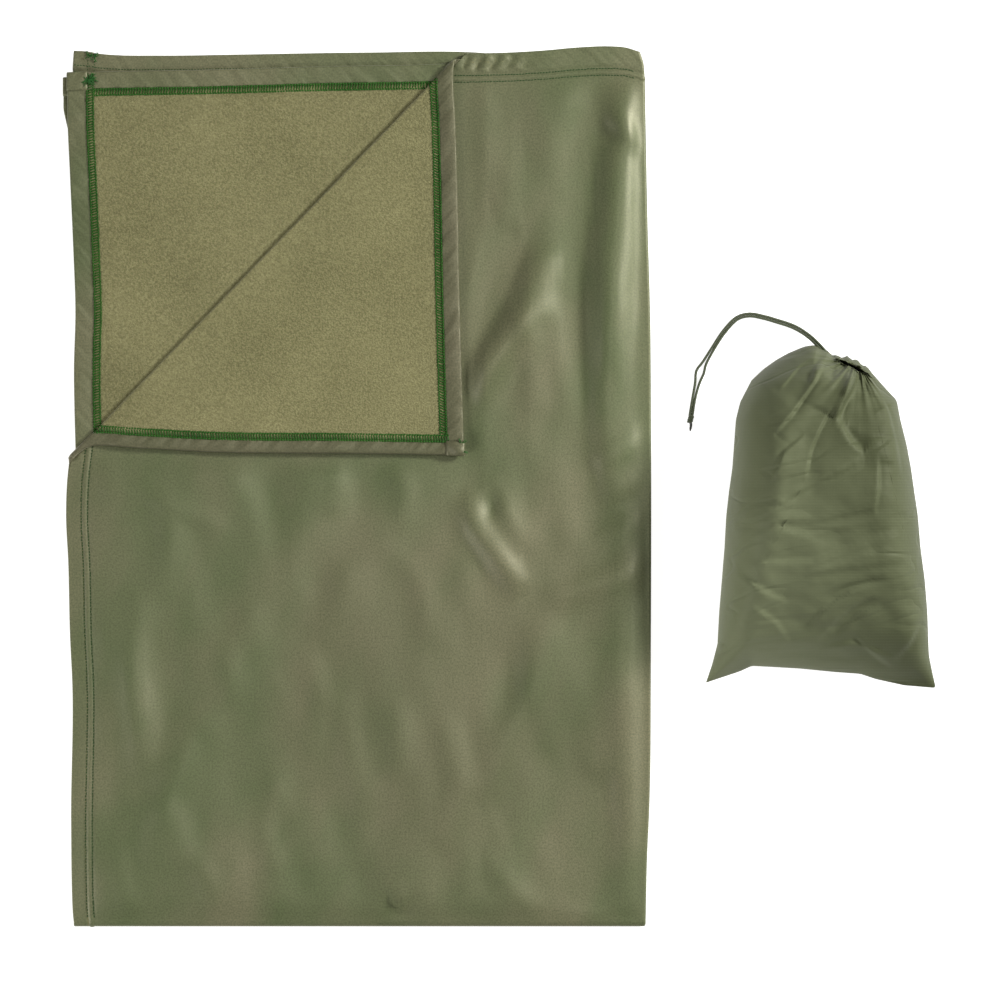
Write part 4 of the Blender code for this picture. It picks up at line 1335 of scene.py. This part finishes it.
class THREAD_OT_camp_blanket(bpy.types.Operator):
    """Sews the overlocked hem edges and the twin needle lines, stitch by stitch"""
    bl_idname = "camp_blanket.thread"
    bl_label = "Thread work"

    def execute(self, context):
        look = context.scene.camp_blanket
        green = thread_finish("green_overlock", look.thread, (0.034, 0.095, 0.014))
        dark = thread_finish("dark_stitching", (0.014, 0.040, 0.010), (0.032, 0.066, 0.022))
        pitch = look.stitch_pitch
        band = OVERLOCK_BAND
        loops = thread_template([
            ((-0.30 * pitch, 0.2 * MM, 0), (0.55 * pitch, band, 0), 1.55 * MM, 0.35 * MM, 3),
            ((0.16 * pitch, 0.2 * MM, 0), (0.24 * pitch, band, 0), 0.95 * MM, 0.28 * MM, 3),
            ((-0.52 * pitch, 0, 0), (0.56 * pitch, 0.15 * MM, 0), 2.1 * MM, 0.55 * MM, 2),
            ((-0.52 * pitch, band, 0), (0.56 * pitch, band - 0.15 * MM, 0), 2.0 * MM, 0.50 * MM, 2)])
        reach = 0.42 * look.needle_pitch
        dash = thread_template([((-reach, 0, 0), (reach, 0, 0), 1.05 * MM, 0.32 * MM, 2)])
        for half, layers, end_needles in (
                ("lower_half", ("floor_layer", "third_layer"), THIRD_END_NEEDLES),
                ("upper_half", ("top_layer", "second_layer"), END_NEEDLES)):
            jobs = overlock_jobs(blanket_runs(half, SIDE_HEM + band), SIDE_HEM, END_HEM, 1.32 * MM)
            piece = sew("overlock_" + half, loops, jobs, pitch, 61, green)
            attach(piece, half)
            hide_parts(*[f"{layer}_{edge}_overlock" for layer in layers
                                 for edge in ("end", "side")])
            jobs = needle_jobs(blanket_runs(half), SIDE_NEEDLES, end_needles, 1.02 * MM)
            piece = sew("needle_lines_" + half, dash, jobs, look.needle_pitch, 62, dark)
            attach(piece, half)
            if half == "upper_half":
                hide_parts("top_layer_end_stitching", "top_layer_side_stitching")
        jobs = overlock_jobs(flap_runs(FLAP_END_HEM + band), FLAP_SIDE_HEM, FLAP_END_HEM, 1.35 * MM)
        piece = sew("overlock_corner", loops, jobs, pitch, 63, green)
        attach(piece, "corner_flap")
        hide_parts("flap_end_overlock", "flap_side_overlock")
        jobs = needle_jobs(flap_runs(), END_NEEDLES, SIDE_NEEDLES, 1.35 * MM)
        piece = sew("needle_lines_corner", dash, jobs, look.needle_pitch, 64, dark)
        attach(piece, "corner_flap")
        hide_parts("flap_side_stitching")
        return {"FINISHED"}


# ---------------------------------------------------------------- the stuff sack

# The sack's outline on the floor, in millimetres, from its lower left corner round to the right.
SACK_OUTLINE = (
    (394, -222), (412, -216), (433, -209), (446, -203), (467, -204), (501, -206), (542, -210), (570, -212),
    (588, -218), (620, -225), (656, -228), (652, -210), (648, -190), (646, -141), (643, -105), (638, -68),
    (635, -32), (631, -5), (627, 23), (622, 50), (615, 78), (611, 100), (597, 115), (583, 131), (577, 139),
    (571, 140), (566, 147), (560, 146), (555, 151), (549, 148), (543, 152), (538, 151), (532, 157),
    (526, 158), (518, 163), (508, 162), (488, 154), (474, 146), (460, 136), (446, 123),
    (433, 98), (428, 78), (426, 50), (424, 23), (420, -5), (417, -32), (415, -68), (412, -105),
    (409, -141), (407, -178), (401, -201))
MOUTH = np.array((0.5585, 0.1370))
MOUTH_REACH = (17.5 * MM, 1.9 * MM)           # half of the drawn mouth's length and width
MOUTH_TURN = -0.47                            # the mouth's long way slants down to the right
SACK_CREST = line_through([
    (-0.2300, 0.004), (-0.2235, 0.006), (-0.2055, 0.026), (-0.1735, 0.060), (-0.1275, 0.088),
    (-0.0705, 0.104), (-0.0135, 0.112), (0.0435, 0.112), (0.0775, 0.106), (0.1005, 0.098),
    (0.1220, 0.088), (0.1340, 0.080), (0.1650, 0.066)])
SACK_MIDDLE = np.array((0.527, -0.03))
OUTLINE_POINTS = 300
# Soft folds of the sack: height and width in millimetres, points in millimetres.
SACK_FOLDS = (
    (9.0, 15, ((534, 142), (518, 118), (498, 92), (470, 62))),
    (-5.0, 10, ((512, 132), (488, 88), (458, 60))),
    (-5.0, 20, ((590, 100), (572, 72), (566, 40), (580, 0))),
    (4.5, 11, ((596, 112), (606, 82), (612, 50), (618, 10))),
    (3.0, 18, ((473, 55), (474, -2), (467, -59))),
    (-3.0, 12, ((446, 110), (452, 70), (462, 40))),
    (-3.5, 9, ((438, -194), (501, -188), (568, -196))),
    (3.5, 6, ((396, -219), (416, -205), (438, -190))),
    (3.5, 7, ((654, -224), (644, -202), (630, -180))),
    (3.0, 22, ((520, -60), (510, -110), (500, -150))),
    (-2.5, 12, ((508, 60), (506, 20), (512, -20))),
    (-12.0, 5, ((578, 136), (573, 124), (566, 108))),
    (6.0, 6, ((556, 140), (552, 124), (545, 104))),
    (5.0, 5, ((584, 130), (584, 118), (580, 104))),
    (-6.0, 5, ((540, 148), (537, 136), (530, 122))),
)
# Creases of the sack: step in millimetres, fade in millimetres, points; the left side stands higher.
SACK_CREASES = (
    (13.0, 30, ((537, 78), (546, 96), (553, 108), (561, 128))),
    (7.0, 16, ((566, 40), (552, 54), (537, 78))),
    (5.0, 14, ((465, 58), (488, 84), (512, 118), (526, 142))),
    (6.0, 12, ((611, 14), (606, 50), (598, 84), (586, 112))),
    (4.0, 9, ((624, 18), (617, 60), (603, 104))),
    (3.0, 8, ((579, -30), (583, 0), (584, 34))),
    (2.2, 9, ((435, -42), (508, -38), (553, -29), (592, -18))),
    (2.4, 10, ((613, -44), (567, -60), (510, -82), (435, -84))),
    (2.4, 9, ((467, -21), (508, 2), (551, 23), (575, 34))),
    (2.8, 10, ((484, -129), (457, -116), (431, -99), (410, -64))),
    (3.2, 11, ((592, -103), (553, -116), (522, -137), (503, -162))),
    (2.6, 9, ((518, -172), (541, -146), (570, -126), (600, -118))),
    (3.0, 9, ((583, -128), (561, -144), (538, -166))),
    (3.6, 11, ((560, -168), (584, -190), (606, -206))),
    (4.2, 10, ((620, -184), (631, -160), (644, -132))),
    (3.4, 10, ((606, -196), (622, -176), (636, -150))),
    (2.4, 7, ((413, -119), (421, -141), (435, -159))),
    (1.9, 6, ((524, -59), (490, -50), (456, -34))),
    (2.2, 8, ((501, -99), (547, -91), (621, -82))),
    (2.4, 8, ((607, -192), (558, -173), (518, -182))),
    (1.8, 6, ((500, -60), (540, -47), (590, -40))),
    (1.8, 7, ((490, -178), (470, -150), (440, -130))),
    (1.6, 6, ((520, -120), (560, -104), (600, -98))),
    (1.6, 6, ((425, -20), (455, -14), (490, -22))),
    (1.8, 6, ((600, -66), (560, -76), (500, -96))),
    (3.0, 9, ((500, 60), (476, 40), (462, 8))),
    (4.0, 9, ((531, 155), (515, 138), (506, 118))),
    (3.0, 8, ((474, 110), (498, 138), (520, 152))),
    (2.8, 10, ((501, 9), (508, 43), (518, 66), (531, 90))),
)


def mouth_edge(angle):
    """The lip of the drawn mouth, round from an angle."""
    turned = angle - MOUTH_TURN
    wavy = 1 + 0.22 * np.sin(5 * turned + 0.8) + 0.16 * np.sin(8 * turned)
    long, wide = MOUTH_REACH[0] * np.cos(turned), MOUTH_REACH[1] * wavy * np.sin(turned)
    cos, sin = math.cos(MOUTH_TURN), math.sin(MOUTH_TURN)
    return np.stack((MOUTH[0] + cos * long - sin * wide, MOUTH[1] + sin * long + cos * wide), axis=-1)


def around_outline(count):
    """Points evenly round the sack's outline."""
    corners = np.array(SACK_OUTLINE, float) * MM
    closed = np.vstack((corners, corners[:1]))
    along = np.concatenate(([0], np.cumsum(np.linalg.norm(np.diff(closed, axis=0), axis=1))))
    shares = np.linspace(0, along[-1], count, endpoint=False)
    return np.stack([np.interp(shares, along, closed[:, k]) for k in (0, 1)], axis=1)


def sack_height(x, y, edge_away, angle, from_mouth):
    """Height of the stuffed sack over a place in plan."""
    crest = SACK_CREST(y)
    side = 1 - (1 - np.clip(edge_away / (0.020 + 0.34 * crest), 0, 1)) ** 2.3
    height = crest * np.sqrt(np.clip(side, 0, 1))
    full = smooth_step(edge_away, 0.004, 0.028)
    folds = np.zeros(np.shape(x))
    for rise, width, points in SACK_FOLDS:
        folds += rise * ridge(x, y, points, width * MM, 1.7)
    for rise, fade, points in SACK_CREASES:
        folds += 1.9 * rise * crease(x, y, points, fade)
    folds += 2.2 * soft_noise(x, y, 0.060, 0.045, 71) + 0.9 * soft_noise(x + 0.5 * y, y, 0.022, 0.018, 72)
    folds += 0.35 * soft_noise(x, y, 0.010, 0.007, 73)
    gathers = (np.sin(13 * angle + 1.2) + 0.7 * np.sin(21 * angle + 0.4) + 0.5 * np.sin(34 * angle))
    gathers = 2.3 * gathers * np.exp(-from_mouth / 0.024) * smooth_step(edge_away, 0.0, 0.010)
    height = height + (folds * full + gathers) * MM
    return np.maximum(height, 1.5 * MM)


class SACK_OT_camp_blanket(bpy.types.Operator):
    """Makes the stuffed sack with its gathered mouth, drawn shut round the cord"""
    bl_idname = "camp_blanket.sack"
    bl_label = "Stuff sack"

    def execute(self, context):
        nylon = sack_finish("sack_nylon")
        self.body(nylon)
        self.channel(nylon)
        self.bundle()
        return {"FINISHED"}

    def tube(self, around, rings):
        """A tube of quads, each vertex's number round it and its share along it, from 0 to 1."""
        bm = bmesh.new()
        bmesh.ops.create_cone(bm, cap_ends=False, segments=around, radius1=1, radius2=1, depth=2)
        uprights = [e for e in bm.edges if abs(e.verts[0].co.z - e.verts[1].co.z) > 1]
        bmesh.ops.subdivide_edges(bm, edges=uprights, cuts=rings - 1, use_grid_fill=True)
        places = np.array([v.co for v in bm.verts])
        round_share = (np.arctan2(places[:, 1], places[:, 0]) / (2 * PI)) % 1
        turn = np.round(round_share * around).astype(int) % around
        return bm, turn, (places[:, 2] + 1) / 2

    def body(self, nylon):
        """The sack's wall, from under its floor, up over its side and in to the mouth."""
        bm, turn, share = self.tube(OUTLINE_POINTS, 128)
        outline = around_outline(OUTLINE_POINTS)
        angles = np.arctan2(outline[:, 1] - MOUTH[1], outline[:, 0] - MOUTH[0])
        lips = mouth_edge(angles)
        edge, lip, angle = outline[turn], lips[turn], angles[turn]
        under = 0.10                            # share of the rings that lies on the floor
        inside = 0.94                           # share past which the wall turns down into the mouth
        up = np.clip((share - under) / (inside - under), 0, 1)
        inward = up ** 1.5
        plan = edge + (lip - edge) * inward[:, None]
        reach = np.linalg.norm(edge - lip, axis=1)
        edge_away = self.away_from(outline, plan)
        from_mouth = np.maximum(reach * (1 - inward), 0)
        height = sack_height(plan[:, 0], plan[:, 1], edge_away, angle, from_mouth)
        start = smooth_step(up, 0.0, 0.012)
        height = np.where(up < 1, 0.8 * MM + (height - 0.8 * MM) * start, height)
        low = np.clip(1 - share / under, 0, 1)
        floor_plan = edge + (SACK_MIDDLE - edge) * (low * 0.9)[:, None]
        plan = np.where((share < under)[:, None], floor_plan, plan)
        height = np.where(share < under, 0.5 * MM, height)
        down = np.clip((share - inside) / (1 - inside), 0, 1)
        height = np.where(down > 0, np.maximum(height - 0.024 * down, 4 * MM), height)
        plan = plan + (MOUTH - plan) * (0.25 * down)[:, None]
        piece = add_object("sack_cloth", bm)
        put(piece.data, np.column_stack((plan, height)))
        self.close_floor(piece)
        smooth_faces(piece)
        piece.data.materials.append(nylon)
        thicken(piece, 0.5 * MM)
        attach(piece, "stuff_sack")
        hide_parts("sack_body")

    def away_from(self, outline, plan):
        """Distance of each place from the outline."""
        nearest = np.full(len(plan), 1e9)
        for start, end in zip(outline, np.roll(outline, -1, axis=0)):
            run = end - start
            t = np.clip(((plan - start) @ run) / (run @ run), 0, 1)
            nearest = np.minimum(nearest, np.linalg.norm(plan - start - t[:, None] * run, axis=1))
        return nearest

    def close_floor(self, piece):
        """Closes the underside and turns every face outwards."""
        bm = bmesh.new()
        bm.from_mesh(piece.data)
        rim = [e for e in bm.edges if e.is_boundary and max(v.co.z for v in e.verts) < 1 * MM]
        bmesh.ops.contextual_create(bm, geom=rim)
        bmesh.ops.recalc_face_normals(bm, faces=bm.faces)
        lowest = min(bm.faces, key=lambda f: f.calc_center_median().z)
        if lowest.normal.z > 0:
            bmesh.ops.reverse_faces(bm, faces=bm.faces)
        bm.to_mesh(piece.data)
        bm.free()

    def channel(self, nylon):
        """The stitched channel round the mouth: a gathered lip of double cloth."""
        around = 132
        bm, turn, share = self.tube(around, 14)
        angle = turn / around * 2 * PI
        swing = 2 * PI * share
        thick = 2.1 + 0.8 * np.sin(9 * angle + 0.6) + 0.5 * np.sin(16 * angle)
        lip = mouth_edge(angle)
        outward = (lip - MOUTH) / np.linalg.norm(lip - MOUTH, axis=1, keepdims=True)
        plan = lip + outward * (thick * (0.8 + 0.8 * np.cos(swing)) * MM)[:, None]
        edge_away = self.away_from(around_outline(OUTLINE_POINTS), lip)
        rim = sack_height(lip[:, 0], lip[:, 1], edge_away, angle, 0.0)
        top = rim + (0.6 + 1.0 * thick * np.sin(swing)) * MM
        piece = add_object("sack_channel_lip", bm)
        put(piece.data, np.column_stack((plan, top)))
        face_outwards(piece, 0.02 * MM)
        smooth_faces(piece)
        piece.data.materials.append(nylon)
        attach(piece, "stuff_sack")
        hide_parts("sack_channel")

    def bundle(self):
        """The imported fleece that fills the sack, kept inside its wall."""
        low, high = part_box("packed_bundle")
        bm = bmesh.new()
        bmesh.ops.create_uvsphere(bm, u_segments=48, v_segments=24, radius=1)
        bmesh.ops.rotate(bm, verts=bm.verts, cent=(0, 0, 0), matrix=Matrix.Rotation(PI / 2, 3, "X"))
        centre, size = (low + high) / 2, (high - low) / 2
        for vert in bm.verts:
            rounded = [math.copysign(abs(c) ** 0.75, c) for c in vert.co]
            ripple = 1 - 0.03 * math.sin(9 * vert.co.x + 5 * vert.co.y) ** 2
            vert.co = [centre[k] + size[k] * rounded[k] * ripple * (0.80, 0.84, 0.72)[k] for k in range(3)]
            vert.co.z -= 4 * MM
        bmesh.ops.recalc_face_normals(bm, faces=bm.faces)
        piece = add_object("sack_bundle", bm)
        smooth_faces(piece)
        look = bpy.context.scene.camp_blanket
        piece.data.materials.append(fleece_finish("packed_fleece", look.fleece_light, look.fleece_shade))
        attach(piece, "stuff_sack")
        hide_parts("packed_bundle")


# ---------------------------------------------------------------- panel and registration

OPERATORS = (STAGE_OT_camp_blanket, DRAWCORD_OT_camp_blanket, ENDS_OT_camp_blanket, SACK_OT_camp_blanket,
             SHEETS_OT_camp_blanket, FLAP_OT_camp_blanket, THREAD_OT_camp_blanket)


class VIEW3D_PT_camp_blanket(bpy.types.Panel):
    """Lists the blanket's looks and its making steps"""
    bl_label = "Camp Blanket"
    bl_idname = "VIEW3D_PT_camp_blanket"
    bl_space_type = "VIEW_3D"
    bl_region_type = "UI"
    bl_category = "Blanket"

    def draw(self, context):
        looks = context.scene.camp_blanket
        for name in BlanketLooks.__annotations__:
            self.layout.prop(looks, name)
        for operator in OPERATORS:
            self.layout.operator(operator.bl_idname)


CLASSES = (BlanketLooks, *OPERATORS, VIEW3D_PT_camp_blanket)


def register():
    """Registers the settings, the operators and the panel."""
    for cls in CLASSES:
        bpy.utils.register_class(cls)
    bpy.types.Scene.camp_blanket = PointerProperty(type=BlanketLooks)


def unregister():
    """Takes them out again."""
    del bpy.types.Scene.camp_blanket
    for cls in reversed(CLASSES):
        bpy.utils.unregister_class(cls)


def main():
    """Makes the whole scene."""
    register()
    for operator in OPERATORS:
        group, name = operator.bl_idname.split(".")
        getattr(getattr(bpy.ops, group), name)()


if __name__ == "__main__":
    main()
